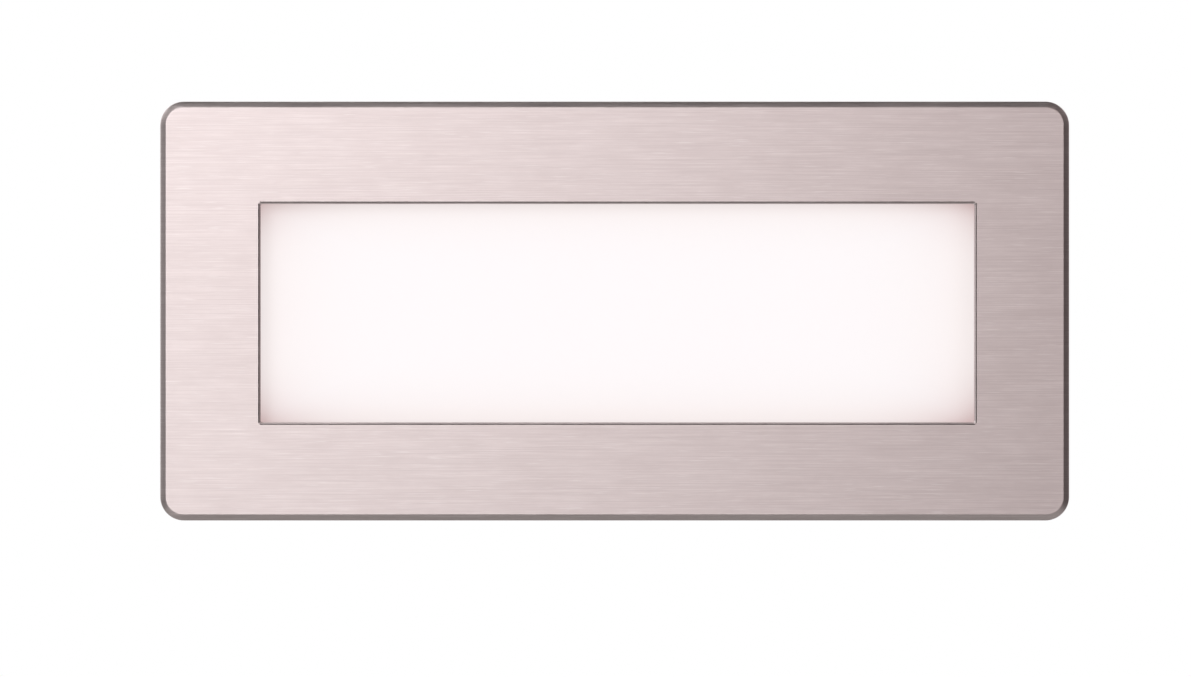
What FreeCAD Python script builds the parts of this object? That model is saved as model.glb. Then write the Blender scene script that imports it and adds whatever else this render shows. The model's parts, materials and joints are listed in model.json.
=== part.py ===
"""A recessed step light that takes the place of a brick: a plain steel plate with a lit window.

Millimetres. X runs to the right, Y into the wall and Z up. The origin is the middle of the recess,
on the face of the wall, so what stands off the wall has a negative Y.
"""
import FreeCAD
import Part
import math
import os
import Sketcher

SIZES = {
    # Faceplate: one folded steel sheet with a bevelled window
    "face_width": 230,
    "face_height": 106,
    "face_corner": 6,
    "face_standoff": 9,
    "face_sheet": 1.2,
    "face_fold": 1.6,
    "face_side": 24.25,
    "face_bar": 24.5,
    "window_corner": 0.8,
    "window_bevel": 0.9,
    # Glass, its soft ring and the frame that clamps it
    "glass_cover_side": 5.25,
    "glass_cover_top": 5,
    "glass_thick": 4,
    "glass_corner": 3,
    "glass_clear": 0.4,
    "glass_arris": 0.5,
    "ring_thick": 1.2,
    "ring_inset": 0.5,
    "frame_sheet": 1,
    "frame_border": 7,
    "frame_lap": 3.6,
    "frame_screw_inset": 3.8,
    "frame_screw_side": 12,
    "frame_screw_columns": 3,
    "frame_screw_depth": 2.5,
    "screw_head_gap": 0.3,
    "screw_head_high": 1.2,
    "screw_head_radius": 2.6,
    "screw_radius": 1.5,
    "screw_clear": 0.05,
    "screw_pass": 0.2,
    "screw_slot_over": 0.26,
    "screw_slot_wide": 0.6,
    "screw_slot_deep": 0.6,
    # Cast lamp body
    "rim_inset": 8,
    "rim_thick": 3,
    "rim_corner": 5,
    "collar_wall": 2.6,
    "ledge_wide": 4,
    "ledge_thick": 3,
    "chamber_wall": 3,
    "chamber_deep": 22,
    "chamber_corner": 4,
    "bay_bracket_gap": 4,
    "bay_right": 40,
    "bay_height": 60,
    "bay_deep": 25,
    "bay_wall": 2.5,
    "bay_corner": 5,
    "fin_thick": 1.8,
    "fin_high": 6,
    "fin_pitch": 10,
    "fin_count": 10,
    "fin_inset": 4,
    "boss_radius": 3.6,
    "boss_high": 6,
    # Moulded box that is built into the wall
    "box_side_inset": 13.5,
    "box_top_inset": 14,
    "box_deep": 60,
    "box_wall": 2,
    "box_corner": 4,
    "flange_border": 5,
    "flange_thick": 1.5,
    "flange_seal": 0.8,
    "flange_seal_wide": 2,
    "seal_inset": 0.5,
    "rib_high": 2,
    "rib_thick": 2,
    "rib_front": 20,
    "rib_spacing": 30,
    "rib_count": 2,
    "entry_radius": 10.25,
    "knockout_web": 0.8,
    "knockout_groove": 1,
    "knockout_spacing": 110,
    "fixing_radius": 2.25,
    "fixing_spacing": 120,
    "fixing_pad_radius": 6,
    "fixing_pad_high": 1,
    # Light engine
    "tray_sheet": 1.2,
    "tray_gap": 1,
    "tray_screw_inset": 4.5,
    "tray_screw_rise": 7.5,
    "tray_screw_length": 6,
    "board_side_gap": 8,
    "board_top_gap": 1.5,
    "board_thick": 1.6,
    "board_screw_inset": 14,
    "board_screw_rise": 3,
    "chip_wide": 2.8,
    "chip_high": 0.7,
    "chip_inset": 9.2,
    "chip_columns": 12,
    "chip_rows": 2,
    "chip_row_pitch": 17,
    "reflector_gap": 0.5,
    "reflector_front_gap": 0.3,
    "reflector_wall": 1,
    "reflector_slope": 22,
    "reflector_hole": 5,
    # Driver and terminal block, behind the tray
    "driver_bay_gap": 8,
    "driver_right": 0,
    "driver_height": 44,
    "driver_deep": 20,
    "driver_wall": 1.5,
    "driver_corner": 2,
    "driver_lid": 2,
    "driver_board_thick": 1.6,
    "driver_board_gap": 0.4,
    "driver_post_high": 3,
    "driver_post_radius": 2.5,
    "transformer_inset": 29,
    "transformer_long": 20,
    "transformer_wide": 16,
    "transformer_high": 11,
    "winding_long": 12,
    "winding_wide": 19.2,
    "winding_corner": 3.2,
    "winding_step": 2.2,
    "capacitor_inset": 11,
    "capacitor_radius": 4,
    "capacitor_high": 11,
    "capacitor_pitch": 9,
    "block_left": 8,
    "block_long": 20,
    "block_deep": 15,
    "block_middle": -13,
    "pole_pitch": 7,
    "pole_count": 3,
    "pole_wall": 1.6,
    "insert_side": 5,
    "insert_gap": 0.2,
    "insert_inset": 2,
    "insert_bore": 1.8,
    "insert_depth": 6,
    "clamp_radius": 1.25,
    "clamp_head_radius": 1.8,
    "clamp_head_high": 2,
    "clamp_pitch": 9,
    "earth_right": 20,
    "earth_up": 14,
    "earth_radius": 2,
    "earth_head_radius": 3.38,
    "earth_head_high": 1.8,
    "earth_lug_radius": 4.5,
    "earth_lug_long": 11,
    "earth_lug_thick": 0.8,
    "lead_radius": 0.6,
    "lead_bend": 3.6,
    "lead_pitch": 6,
    "lead_depth": 12,
    # Cable gland, on the right end of the driver bay
    "gland_depth": 37,
    "gland_rise": 15,
    "gland_thread": 8,
    "gland_flats": 19,
    "gland_hex": 4,
    "gland_neck": 9,
    "gland_bore": 5.2,
    "gland_seat": 6.6,
    "gland_seal_long": 7,
    "cable_radius": 4.5,
    "gland_nut_start": 6,
    "gland_nut_long": 11,
    "gland_nut_hex": 6.6,
    "gland_nut_round": 2.75,
    "gland_nut_bore": 5.5,
    "locknut_radius": 9.5,
    "locknut_thick": 3.5,
    "locknut_notch": 1.2,
    "thread_clear": 0.1,
    # Leaf clips that grip the folded edge of the faceplate
    "clip_sheet": 0.4,
    "clip_wide": 14,
    "clip_spacing": 120,
    "clip_leg": 3.2,
    "leaf_wide": 8,
    "leaf_gap": 0.1,
    "leaf_peak": 1.4,
    "leaf_tail": 3.2,
    "leaf_tail_drop": 2.4,
    "leaf_bend_gap": 1,
    "clip_rivet_radius": 0.8,
    "clip_rivet_head": 1.4,
    "clip_rivet_inset": 1.8,
    # Spring arms that hold the lamp in the box
    "pin_inset": 13.5,
    "pin_radius": 1.5,
    "pin_head": 2.3,
    "pin_head_high": 0.8,
    "bracket_sheet": 1.2,
    "bracket_in": 18,
    "bracket_out": 5.5,
    "ear_radius": 3.7,
    "arm_side_gap": 0.4,
    "arm_wide": 14.8,
    "arm_sheet": 1,
    "arm_angle": 33,
    "arm_knuckle": 2.6,
    "arm_window": 6.8,
    "arm_window_long": 11,
    "arm_window_back": 3.9,
    "arm_tip": 1.6,
    "arm_wall_gap": 0.3,
    "coil_wire": 0.8,
    "coil_radius": 3.05,
    "coil_pitch": 1.25,
    "coil_turns": 3,
    "coil_foot": 4.5,
    "coil_leg": 7,
    "coil_gap": 0.3,
    "rivet_radius": 1.2,
    "rivet_head": 2.2,
    "rivet_head_high": 0.9,
    "rivet_inset": 4,
    "rivet_spacing": 10,
    "rivet_depth": 2.2,
}

PAD = "PartDesign::Pad"
POCKET = "PartDesign::Pocket"
FRONT = "XZ_Plane"
TOP = "XY_Plane"
SIDE = "YZ_Plane"
HALF_TURN = 180
# The distance between the points on which a spring's gap to itself is measured
GAP_STEP = 0.25
# Two places nearer than this are the same place
SAME_PLACE = 0.01
# Which way the normal of each plane points along its own axis
NORMAL = {FRONT: -1, TOP: 1, SIDE: 1}

document = FreeCAD.newDocument("StepLight")
sheet = document.addObject("Spreadsheet::Sheet", "Sizes")


def number_of(value):
    """The plain number of a size, or the number itself."""
    return value.number if isinstance(value, Size) else value


def formula_of(value):
    """The sheet formula of a size, or the number written out."""
    return value.formula if isinstance(value, Size) else f"({value})"


class Size:
    """A number with the sheet formula that gives it, so that sums of sizes stay bound to the sheet."""

    def __init__(self, number, formula):
        self.number = number
        self.formula = formula

    def __add__(self, other):
        return Size(self.number + number_of(other), f"({self.formula} + {formula_of(other)})")

    def __sub__(self, other):
        return Size(self.number - number_of(other), f"({self.formula} - {formula_of(other)})")

    def __mul__(self, other):
        return Size(self.number * number_of(other), f"({self.formula} * {formula_of(other)})")

    def __truediv__(self, other):
        return Size(self.number / number_of(other), f"({self.formula} / {formula_of(other)})")

    def __radd__(self, other):
        return self + other

    def __rmul__(self, other):
        return self * other

    def __rsub__(self, other):
        return -self + other

    def __neg__(self):
        return self * -1


def sine(angle):
    """The sine of an angle in degrees."""
    return Size(math.sin(math.radians(angle.number)), f"sin({angle.formula})")


def cosine(angle):
    """The cosine of an angle in degrees."""
    return Size(math.cos(math.radians(angle.number)), f"cos({angle.formula})")


class Sheet:
    """All sizes by name, each one a row of the spreadsheet."""

    def __init__(self, sizes):
        for row, (name, value) in enumerate(sizes.items(), start=1):
            sheet.set(f"A{row}", name)
            sheet.set(f"B{row}", str(value))
            sheet.setAlias(f"B{row}", name)
            setattr(self, name, Size(value, f"Sizes.{name}"))
        document.recompute()


s = Sheet(SIZES)


# Drawing and building


def bind(item, name, value):
    """Ties a property or a sketch dimension to the sheet."""
    item.setExpression(name, formula_of(value))


def dimension(sketch, kind, places, value):
    """Adds a dimension to a sketch and ties it to the sheet."""
    index = sketch.addConstraint(Sketcher.Constraint(kind, *places, float(number_of(value))))
    name = f"size_{index}"
    sketch.renameConstraint(index, name)
    bind(sketch, f"Constraints.{name}", value)


def from_origin(sketch, geometry, point, across, up):
    """Ties a point of a sketch to its distances from the sketch's origin."""
    dimension(sketch, "DistanceX", (-1, 1, geometry, point), across)
    dimension(sketch, "DistanceY", (-1, 1, geometry, point), up)


def disc(radius, across=0, up=0):
    """A circle."""
    def draw(sketch):
        middle = FreeCAD.Vector(number_of(across), number_of(up), 0)
        circle = Part.Circle(middle, FreeCAD.Vector(0, 0, 1), number_of(radius))
        index = sketch.addGeometry(circle)
        dimension(sketch, "Radius", (index,), radius)
        from_origin(sketch, index, 3, across, up)
    return draw


def outline(*points):
    """A closed outline of straight lines through the points."""
    def draw(sketch):
        corners = [FreeCAD.Vector(number_of(x), number_of(y), 0) for x, y in points]
        first = sketch.GeometryCount
        for start, end in zip(corners, corners[1:] + corners[:1]):
            sketch.addGeometry(Part.LineSegment(start, end))
        for index, (x, y) in enumerate(points):
            after = (index + 1) % len(points)
            sketch.addConstraint(Sketcher.Constraint("Coincident", first + index, 2, first + after, 1))
            from_origin(sketch, first + index, 1, x, y)
    return draw


def rectangle(width, height, across=0, up=0):
    """A sharp rectangle by its size and middle."""
    left, right = across - width / 2, across + width / 2
    bottom, top = up - height / 2, up + height / 2
    return outline((left, bottom), (right, bottom), (right, top), (left, top))


def rounded(width, height, corner, across=0, up=0):
    """A rectangle with round corners by its size and middle: four lines and four arcs, tangent in turn."""
    def draw(sketch):
        left, right = number_of(across - width / 2), number_of(across + width / 2)
        bottom, top = number_of(up - height / 2), number_of(up + height / 2)
        bend = number_of(corner)
        first = sketch.GeometryCount
        quarters = [
            ((left + bend, bottom), (right - bend, bottom), (right - bend, bottom + bend), -90),
            ((right, bottom + bend), (right, top - bend), (right - bend, top - bend), 0),
            ((right - bend, top), (left + bend, top), (left + bend, top - bend), 90),
            ((left, top - bend), (left, bottom + bend), (left + bend, bottom + bend), 180),
        ]
        for start, end, middle, angle in quarters:
            sketch.addGeometry(Part.LineSegment(FreeCAD.Vector(*start, 0), FreeCAD.Vector(*end, 0)))
            circle = Part.Circle(FreeCAD.Vector(*middle, 0), FreeCAD.Vector(0, 0, 1), bend)
            quarter = Part.ArcOfCircle(circle, math.radians(angle), math.radians(angle + 90))
            sketch.addGeometry(quarter)
        for index in range(8):
            after = first + (index + 1) % 8
            sketch.addConstraint(Sketcher.Constraint("Tangent", first + index, 2, after, 1))
        for index, kind in enumerate(["Horizontal", "Vertical", "Horizontal", "Vertical"]):
            sketch.addConstraint(Sketcher.Constraint(kind, first + 2 * index))
        for index in (3, 5, 7):
            sketch.addConstraint(Sketcher.Constraint("Equal", first + 1, first + index))
        dimension(sketch, "Radius", (first + 1,), corner)
        dimension(sketch, "DistanceY", (-1, 1, first, 1), up - height / 2)
        dimension(sketch, "DistanceX", (-1, 1, first + 2, 1), across + width / 2)
        dimension(sketch, "DistanceY", (-1, 1, first + 4, 1), up + height / 2)
        dimension(sketch, "DistanceX", (-1, 1, first + 6, 1), across - width / 2)
    return draw


def hexagon(flats, across=0, up=0):
    """A hexagon by the width over its flats, with two flats upright."""
    half = flats / 2
    corner = flats / math.sqrt(3)
    turns = [(half, corner / 2), (0 * half, corner), (-half, corner / 2)]
    turns += [(-x, -y) for x, y in turns]
    return outline(*[(across + x, up + y) for x, y in turns])


def new_piece(label, x=0, y=0, z=0):
    """An empty body of its own, placed by the sheet."""
    body = document.addObject("PartDesign::Body", label)
    body.Label = label
    bind(body, "Placement.Base.x", x)
    bind(body, "Placement.Base.y", y)
    bind(body, "Placement.Base.z", z)
    return body


def origin_item(body, role):
    """An axis or plane of the body's own origin."""
    return next(item for item in body.Origin.OriginFeatures if item.Role == role)


def sketch_on(body, plane, offset, shapes):
    """A sketch with the given shapes on one of the body's planes, moved along the plane's axis."""
    sketch = body.newObject("Sketcher::SketchObject", "Sketch")
    sketch.AttachmentSupport = [(origin_item(body, plane), "")]
    sketch.MapMode = "FlatFace"
    bind(sketch, "AttachmentOffset.Base.z", offset * NORMAL[plane])
    for draw in shapes:
        draw(sketch)
    return sketch


def extrude(body, kind, plane, start, stop, *shapes, slope=0):
    """Adds (pad) or cuts (pocket) the shapes between two places along the plane's axis."""
    before = body.Shape.Volume if body.Tip else 0
    sketch = sketch_on(body, plane, start, shapes)
    feature = body.newObject(kind, "Feature")
    feature.Profile = sketch
    bind(feature, "Length", stop - start)
    feature.Reversed = (kind == PAD) == (NORMAL[plane] < 0)
    if slope:
        bind(feature, "TaperAngle", -slope)
    document.recompute()
    change = body.Shape.Volume - before
    if change * (1 if kind == PAD else -1) <= 0:
        raise ValueError(f"{body.Label}: {feature.Name} changes nothing")
    return feature


def row(body, features, axis, pitch, count):
    """Repeats features in a straight row at a steady pitch."""
    pattern = body.newObject("PartDesign::LinearPattern", "Row")
    pattern.Originals = features
    pattern.Direction = (origin_item(body, axis), [""])
    pattern.Mode = "Spacing"
    bind(pattern, "Offset", pitch)
    bind(pattern, "Occurrences", count)
    body.Tip = pattern
    document.recompute()
    return pattern


def edges_where(body, test):
    """The names of the body's edges whose box meets the test."""
    return [f"Edge{n}" for n, edge in enumerate(body.Shape.Edges, start=1) if test(edge.BoundBox)]


def round_edges(body, radius, test):
    """Rounds the chosen edges of the body."""
    base = (body.Tip, edges_where(body, test))
    fillet = body.newObject("PartDesign::Fillet", "Fillet")
    fillet.Base = base
    bind(fillet, "Radius", radius)
    document.recompute()
    return fillet


def bevel_edges(body, size, test):
    """Bevels the chosen edges of the body at 45 degrees."""
    base = (body.Tip, edges_where(body, test))
    bevel = body.newObject("PartDesign::Chamfer", "Chamfer")
    bevel.Base = base
    bind(bevel, "Size", size)
    document.recompute()
    return bevel


def near(a, b):
    """Whether two places are the same for the choice of an edge."""
    return abs(a - number_of(b)) < SAME_PLACE


def flat_at(box, y):
    """Whether an edge lies flat at this depth."""
    return near(box.YMin, y) and near(box.YMax, y)


# Places along Y, from the front of the plate to the back of the lamp

face_front = -s.face_standoff
face_back = face_front + s.face_sheet
frame_front = face_back + s.screw_head_gap + s.screw_head_high
rim_front = frame_front + s.frame_sheet
rim_back = rim_front + s.rim_thick
glass_back = rim_front + s.glass_thick
ledge_front = glass_back + s.ring_thick
ledge_back = ledge_front + s.ledge_thick
chamber_back = s.chamber_deep
wall_back = chamber_back + s.chamber_wall
bay_back = wall_back + s.bay_deep
tray_front = chamber_back - s.tray_sheet
board_front = tray_front - s.board_thick

# Sizes that several pieces share

window_width = s.face_width - s.face_side * 2
window_height = s.face_height - s.face_bar * 2
glass_width = window_width + s.glass_cover_side * 2
glass_height = window_height + s.glass_cover_top * 2
rim_width = s.face_width - s.rim_inset * 2
rim_height = s.face_height - s.rim_inset * 2
box_width = s.face_width - s.box_side_inset * 2
box_height = s.face_height - s.box_top_inset * 2
opening_width = glass_width - s.ledge_wide * 2
opening_height = glass_height - s.ledge_wide * 2
board_width = opening_width - s.board_side_gap * 2
board_height = opening_height - s.board_top_gap * 2
pin_right = box_width / 2 - s.pin_inset
rebate_width = glass_width + s.glass_clear * 2
rebate_height = glass_height + s.glass_clear * 2
bay_left = s.bracket_in - pin_right + s.bay_bracket_gap
bay_width = s.bay_right - bay_left
bay_middle = (s.bay_right + bay_left) / 2
driver_left = bay_left + s.driver_bay_gap
driver_width = s.driver_right - driver_left
driver_middle = (s.driver_right + driver_left) / 2
gland_down = s.bay_height / 2 - s.gland_rise
frame_width = glass_width + s.frame_border * 2
frame_height = glass_height + s.frame_border * 2
seal_width = box_width + s.seal_inset * 2
seal_height = box_height + s.seal_inset * 2
block_height = s.pole_pitch * (s.pole_count - 1) + s.insert_side + s.insert_gap * 2 + s.pole_wall * 2


def grid(columns, rows, across, up):
    """Places in an even grid about the middle."""
    places = []
    for column in range(number_of(columns)):
        for line in range(number_of(rows)):
            x = across * (column - (columns - 1) / 2)
            y = up * (line - (rows - 1) / 2)
            places.append((x, y))
    return places


frame_screw_rows = glass_height + s.frame_screw_inset * 2
frame_screw_pitch = (glass_width - s.frame_screw_side * 2) / (s.frame_screw_columns - 1)
frame_screw_places = grid(s.frame_screw_columns, 2, frame_screw_pitch, frame_screw_rows)
tray_screw_pitch = opening_width - s.tray_screw_inset * 2
tray_screw_places = grid(2, 2, tray_screw_pitch, opening_height - s.tray_screw_rise * 2)
board_screw_pitch = board_width - s.board_screw_inset * 2
board_screw_places = grid(2, 2, board_screw_pitch, board_height - s.board_screw_rise * 2)
chip_pitch = (board_width - s.chip_inset * 2) / (s.chip_columns - 1)
clip_places = [-s.clip_spacing / 2, s.clip_spacing / 2]


def discs(radius, places):
    """The same circle at several places."""
    return [disc(radius, x, y) for x, y in places]


# Faceplate


def make_fascia():
    """The folded plate: a flat face, four returns to the wall and a window with a bevelled edge."""
    body = new_piece("fascia", y=face_front)
    extrude(body, PAD, FRONT, 0, s.face_standoff, rounded(s.face_width, s.face_height, s.face_corner))
    round_edges(body, s.face_fold, lambda box: flat_at(box, face_front))
    inner_width = s.face_width - s.face_sheet * 2
    inner_height = s.face_height - s.face_sheet * 2
    inner = rounded(inner_width, inner_height, s.face_corner - s.face_sheet)
    extrude(body, POCKET, FRONT, s.face_sheet, s.face_standoff, inner)
    round_edges(body, s.face_fold - s.face_sheet, lambda box: flat_at(box, face_back))
    window = rounded(window_width, window_height, s.window_corner)
    extrude(body, POCKET, FRONT, 0, s.face_sheet, window)
    half = number_of(window_width) / 2 + SAME_PLACE
    bevel_edges(body, s.window_bevel, lambda box: flat_at(box, face_front) and abs(box.XMin) < half)


# Glass and what clamps it


def make_diffuser_glass():
    """The frosted pane, with its front edges broken."""
    body = new_piece("diffuser_glass", y=rim_front)
    extrude(body, PAD, FRONT, 0, s.glass_thick, rounded(glass_width, glass_height, s.glass_corner))
    bevel_edges(body, s.glass_arris, lambda box: flat_at(box, rim_front))


def make_glass_gasket():
    """The soft ring between the pane and its ledge."""
    body = new_piece("glass_gasket", y=glass_back)
    outer_width = glass_width - s.ring_inset * 2
    outer_height = glass_height - s.ring_inset * 2
    outer = rounded(outer_width, outer_height, s.glass_corner)
    hole = rounded(opening_width + s.ring_inset * 2, opening_height + s.ring_inset * 2, s.chamber_corner)
    extrude(body, PAD, FRONT, 0, s.ring_thick, outer, hole)


def make_clamp_frame():
    """The thin frame that laps over the edge of the pane."""
    body = new_piece("clamp_frame", y=frame_front)
    outer = rounded(frame_width, frame_height, s.rim_corner)
    hole = rounded(glass_width - s.frame_lap * 2, glass_height - s.frame_lap * 2, s.glass_corner)
    passes = discs(s.screw_radius + s.screw_pass, frame_screw_places)
    extrude(body, PAD, FRONT, 0, s.frame_sheet, outer, hole, *passes)


def make_screws(label, y, length, places, head_radius=s.screw_head_radius, radius=s.screw_radius):
    """Flat-topped slotted screws that all sit at one depth, their heads in front of it."""
    body = new_piece(label, y=y)
    extrude(body, PAD, FRONT, -s.screw_head_high, 0, *discs(head_radius, places))
    extrude(body, PAD, FRONT, 0, length, *discs(radius, places))
    slots = [rectangle((head_radius + s.screw_slot_over) * 2, s.screw_slot_wide, x, z) for x, z in places]
    slot_floor = s.screw_slot_deep - s.screw_head_high
    extrude(body, POCKET, FRONT, -s.screw_head_high, slot_floor, *slots)


# Cast lamp body


def make_lamp_housing():
    """The casting: rim, collar round the pane, light chamber, driver bay with fins, and the openings."""
    body = new_piece("lamp_housing")
    extrude(body, PAD, FRONT, rim_front, rim_back, rounded(rim_width, rim_height, s.rim_corner))
    collar_width = rebate_width + s.collar_wall * 2
    collar_height = rebate_height + s.collar_wall * 2
    collar_corner = s.glass_corner + s.collar_wall
    extrude(body, PAD, FRONT, rim_back, ledge_back, rounded(collar_width, collar_height, collar_corner))
    outer_width = opening_width + s.chamber_wall * 2
    outer_height = opening_height + s.chamber_wall * 2
    outer_corner = s.chamber_corner + s.chamber_wall
    extrude(body, PAD, FRONT, ledge_back, wall_back, rounded(outer_width, outer_height, outer_corner))
    bay = rounded(bay_width, s.bay_height, s.bay_corner, bay_middle)
    extrude(body, PAD, FRONT, wall_back, bay_back, bay)
    round_edges(body, s.bay_wall, lambda box: flat_at(box, bay_back))
    extrude(body, PAD, FRONT, wall_back, wall_back + s.boss_high, *discs(s.boss_radius, tray_screw_places))
    fin_long = s.bay_height - s.fin_inset * 2
    fin_start = bay_middle - s.fin_pitch * (s.fin_count - 1) / 2
    fin = rectangle(s.fin_thick, fin_long, fin_start)
    first_fin = extrude(body, PAD, FRONT, bay_back - s.bay_wall / 2, bay_back + s.fin_high, fin)
    row(body, [first_fin], "X_Axis", s.fin_pitch, s.fin_count)
    rebate_corner = s.glass_corner + s.glass_clear
    extrude(body, POCKET, FRONT, rim_front, ledge_front, rounded(rebate_width, rebate_height, rebate_corner))
    chamber = rounded(opening_width, opening_height, s.chamber_corner)
    extrude(body, POCKET, FRONT, ledge_front, chamber_back, chamber)
    inner_bay = rounded(
        bay_width - s.bay_wall * 2, s.bay_height - s.bay_wall * 2, s.bay_corner - s.bay_wall, bay_middle
    )
    extrude(body, POCKET, FRONT, chamber_back, bay_back - s.bay_wall, inner_bay)
    threads = discs(s.screw_radius + s.screw_clear, frame_screw_places)
    extrude(body, POCKET, FRONT, rim_front, rim_front + s.frame_screw_depth, *threads)
    tray_threads = discs(s.screw_radius + s.screw_clear, tray_screw_places)
    thread_end = tray_front + s.tray_screw_length + s.screw_clear
    extrude(body, POCKET, FRONT, chamber_back, thread_end, *tray_threads)
    gland_hole = disc(s.gland_thread + s.thread_clear, s.gland_depth, -gland_down)
    extrude(body, POCKET, SIDE, s.bay_right - s.bay_wall, s.bay_right, gland_hole)
    clip_holes = discs(s.clip_rivet_radius + s.screw_clear, clip_rivet_places())
    extrude(body, POCKET, FRONT, rim_front, rim_back, *clip_holes)
    rivet_holes = discs(s.rivet_radius + s.screw_clear, bracket_rivet_places())
    extrude(body, POCKET, FRONT, wall_back - s.rivet_depth, wall_back, *rivet_holes)


def clip_rivet_places():
    """The rivets of the leaf clips, as X and Z."""
    reach = rim_height / 2 - s.clip_rivet_inset
    return [(x, z) for x in clip_places for z in (reach, -reach)]


def bracket_rivet_places():
    """The rivets of both hinge brackets, as X and Z."""
    reach = pin_right - s.bracket_in + s.rivet_inset
    return [(x, z) for x in (reach, -reach) for z in (s.rivet_spacing / 2, -s.rivet_spacing / 2)]


def make_flange_gasket():
    """The soft ring between the rim of the lamp and the flange of the box."""
    body = new_piece("flange_gasket", y=rim_back)
    wide = s.flange_seal_wide * 2
    outer = rounded(seal_width + wide, seal_height + wide, s.box_corner + s.flange_seal_wide)
    hole = rounded(seal_width, seal_height, s.box_corner)
    extrude(body, PAD, FRONT, 0, s.flange_seal, outer, hole)


# Box in the wall


def make_recess_box():
    """The moulded box: flange, tub with ribs that key into the mortar, entries and fixing holes."""
    body = new_piece("recess_box")
    border = s.box_wall + s.flange_border
    flange = rounded(box_width + border * 2, box_height + border * 2, s.box_corner + border / 2)
    extrude(body, PAD, FRONT, -s.flange_thick, 0, flange)
    outer_width = box_width + s.box_wall * 2
    outer_height = box_height + s.box_wall * 2
    outer_corner = s.box_corner + s.box_wall
    box_end = s.box_deep + s.box_wall
    extrude(body, PAD, FRONT, 0, box_end, rounded(outer_width, outer_height, outer_corner))
    round_edges(body, s.box_wall, lambda box: flat_at(box, box_end))
    rib_width = outer_width + s.rib_high * 2
    rib_height = outer_height + s.rib_high * 2
    rib_corner = outer_corner + s.rib_high
    rib = rounded(rib_width, rib_height, rib_corner)
    first_rib = extrude(body, PAD, FRONT, s.rib_front - s.rib_thick, s.rib_front, rib)
    row(body, [first_rib], "Y_Axis", s.rib_spacing, s.rib_count)
    fixings = [(-s.fixing_spacing / 2, 0), (s.fixing_spacing / 2, 0)]
    tub = rounded(box_width, box_height, s.box_corner)
    extrude(body, POCKET, FRONT, -s.flange_thick, s.box_deep, tub)
    pads = discs(s.fixing_pad_radius, fixings)
    extrude(body, PAD, FRONT, s.box_deep - s.fixing_pad_high, s.box_deep, *pads)
    extrude(body, POCKET, FRONT, s.box_deep - s.fixing_pad_high, box_end, *discs(s.fixing_radius, fixings))
    entry = disc(s.entry_radius, s.gland_depth, -gland_down)
    extrude(body, POCKET, SIDE, box_width / 2, outer_width / 2, entry)
    end_knockout = knockout(s.gland_depth, -gland_down)
    extrude(body, POCKET, SIDE, -outer_width / 2, -box_width / 2 - s.knockout_web, *end_knockout)
    for side in (-1, 1):
        top_knockout = knockout(side * s.knockout_spacing / 2, s.gland_depth)
        extrude(body, POCKET, TOP, box_height / 2 + s.knockout_web, outer_height / 2, *top_knockout)


def knockout(across, up):
    """The groove round a disc of the wall that can be broken out for a cable."""
    return [disc(s.entry_radius, across, up), disc(s.entry_radius - s.knockout_groove, across, up)]


# Light engine


def make_gear_tray():
    """The steel plate that carries the light sources in front and the driver behind."""
    body = new_piece("gear_tray", y=tray_front)
    plate = rounded(opening_width - s.tray_gap * 2, opening_height - s.tray_gap * 2, s.chamber_corner)
    holes = discs(s.screw_radius + s.screw_pass, tray_screw_places)
    holes += discs(s.screw_radius + s.screw_clear, board_screw_places)
    holes.append(disc(s.earth_radius + s.screw_clear, s.earth_right, s.earth_up))
    holes.append(rounded(s.lead_bend * 2, s.lead_pitch * 2, s.lead_bend / 2, lead_left()))
    extrude(body, PAD, FRONT, 0, s.tray_sheet, plate, *holes)


def lead_left():
    """Where the leads of the light sources turn towards the board."""
    return driver_left - s.lead_bend - s.lead_radius


def make_led_board():
    """The circuit board of the light sources."""
    body = new_piece("led_board", y=board_front)
    plate = rounded(board_width, board_height, s.chamber_corner)
    passes = discs(s.screw_radius + s.screw_pass, board_screw_places)
    extrude(body, PAD, FRONT, 0, s.board_thick, plate, *passes)


def chip_start():
    """The middle of the first light source, as X and Z."""
    return -chip_pitch * (s.chip_columns - 1) / 2, -s.chip_row_pitch * (s.chip_rows - 1) / 2


def make_leds():
    """The light sources, in even rows on the board."""
    body = new_piece("leds", y=board_front - s.chip_high)
    across, up = chip_start()
    places = [(across, up + s.chip_row_pitch * line) for line in range(number_of(s.chip_rows))]
    chips = [rectangle(s.chip_wide, s.chip_wide, x, z) for x, z in places]
    column = extrude(body, PAD, FRONT, 0, s.chip_high, *chips)
    row(body, [column], "X_Axis", chip_pitch, s.chip_columns)


def make_reflector():
    """The white tray round the light sources: sloped walls, and a floor with a square hole at each source."""
    body = new_piece("reflector", y=ledge_front + s.reflector_front_gap)
    outer_width = opening_width - s.reflector_gap * 2
    outer_height = opening_height - s.reflector_gap * 2
    deep = board_front - ledge_front - s.reflector_front_gap
    outer = rounded(outer_width, outer_height, s.chamber_corner)
    extrude(body, PAD, FRONT, 0, deep, outer, slope=s.reflector_slope)
    wall = s.reflector_wall / cosine(s.reflector_slope) * 2
    inner = rounded(outer_width - wall, outer_height - wall, s.chamber_corner - s.reflector_wall)
    extrude(body, POCKET, FRONT, 0, deep - s.reflector_wall, inner, slope=s.reflector_slope)
    across, up = chip_start()
    places = [(across, up + s.chip_row_pitch * line) for line in range(number_of(s.chip_rows))]
    holes = [rectangle(s.reflector_hole, s.reflector_hole, x, z) for x, z in places]
    column = extrude(body, POCKET, FRONT, deep - s.reflector_wall, deep, *holes)
    row(body, [column], "X_Axis", chip_pitch, s.chip_columns)


# Driver and terminal block


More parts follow.
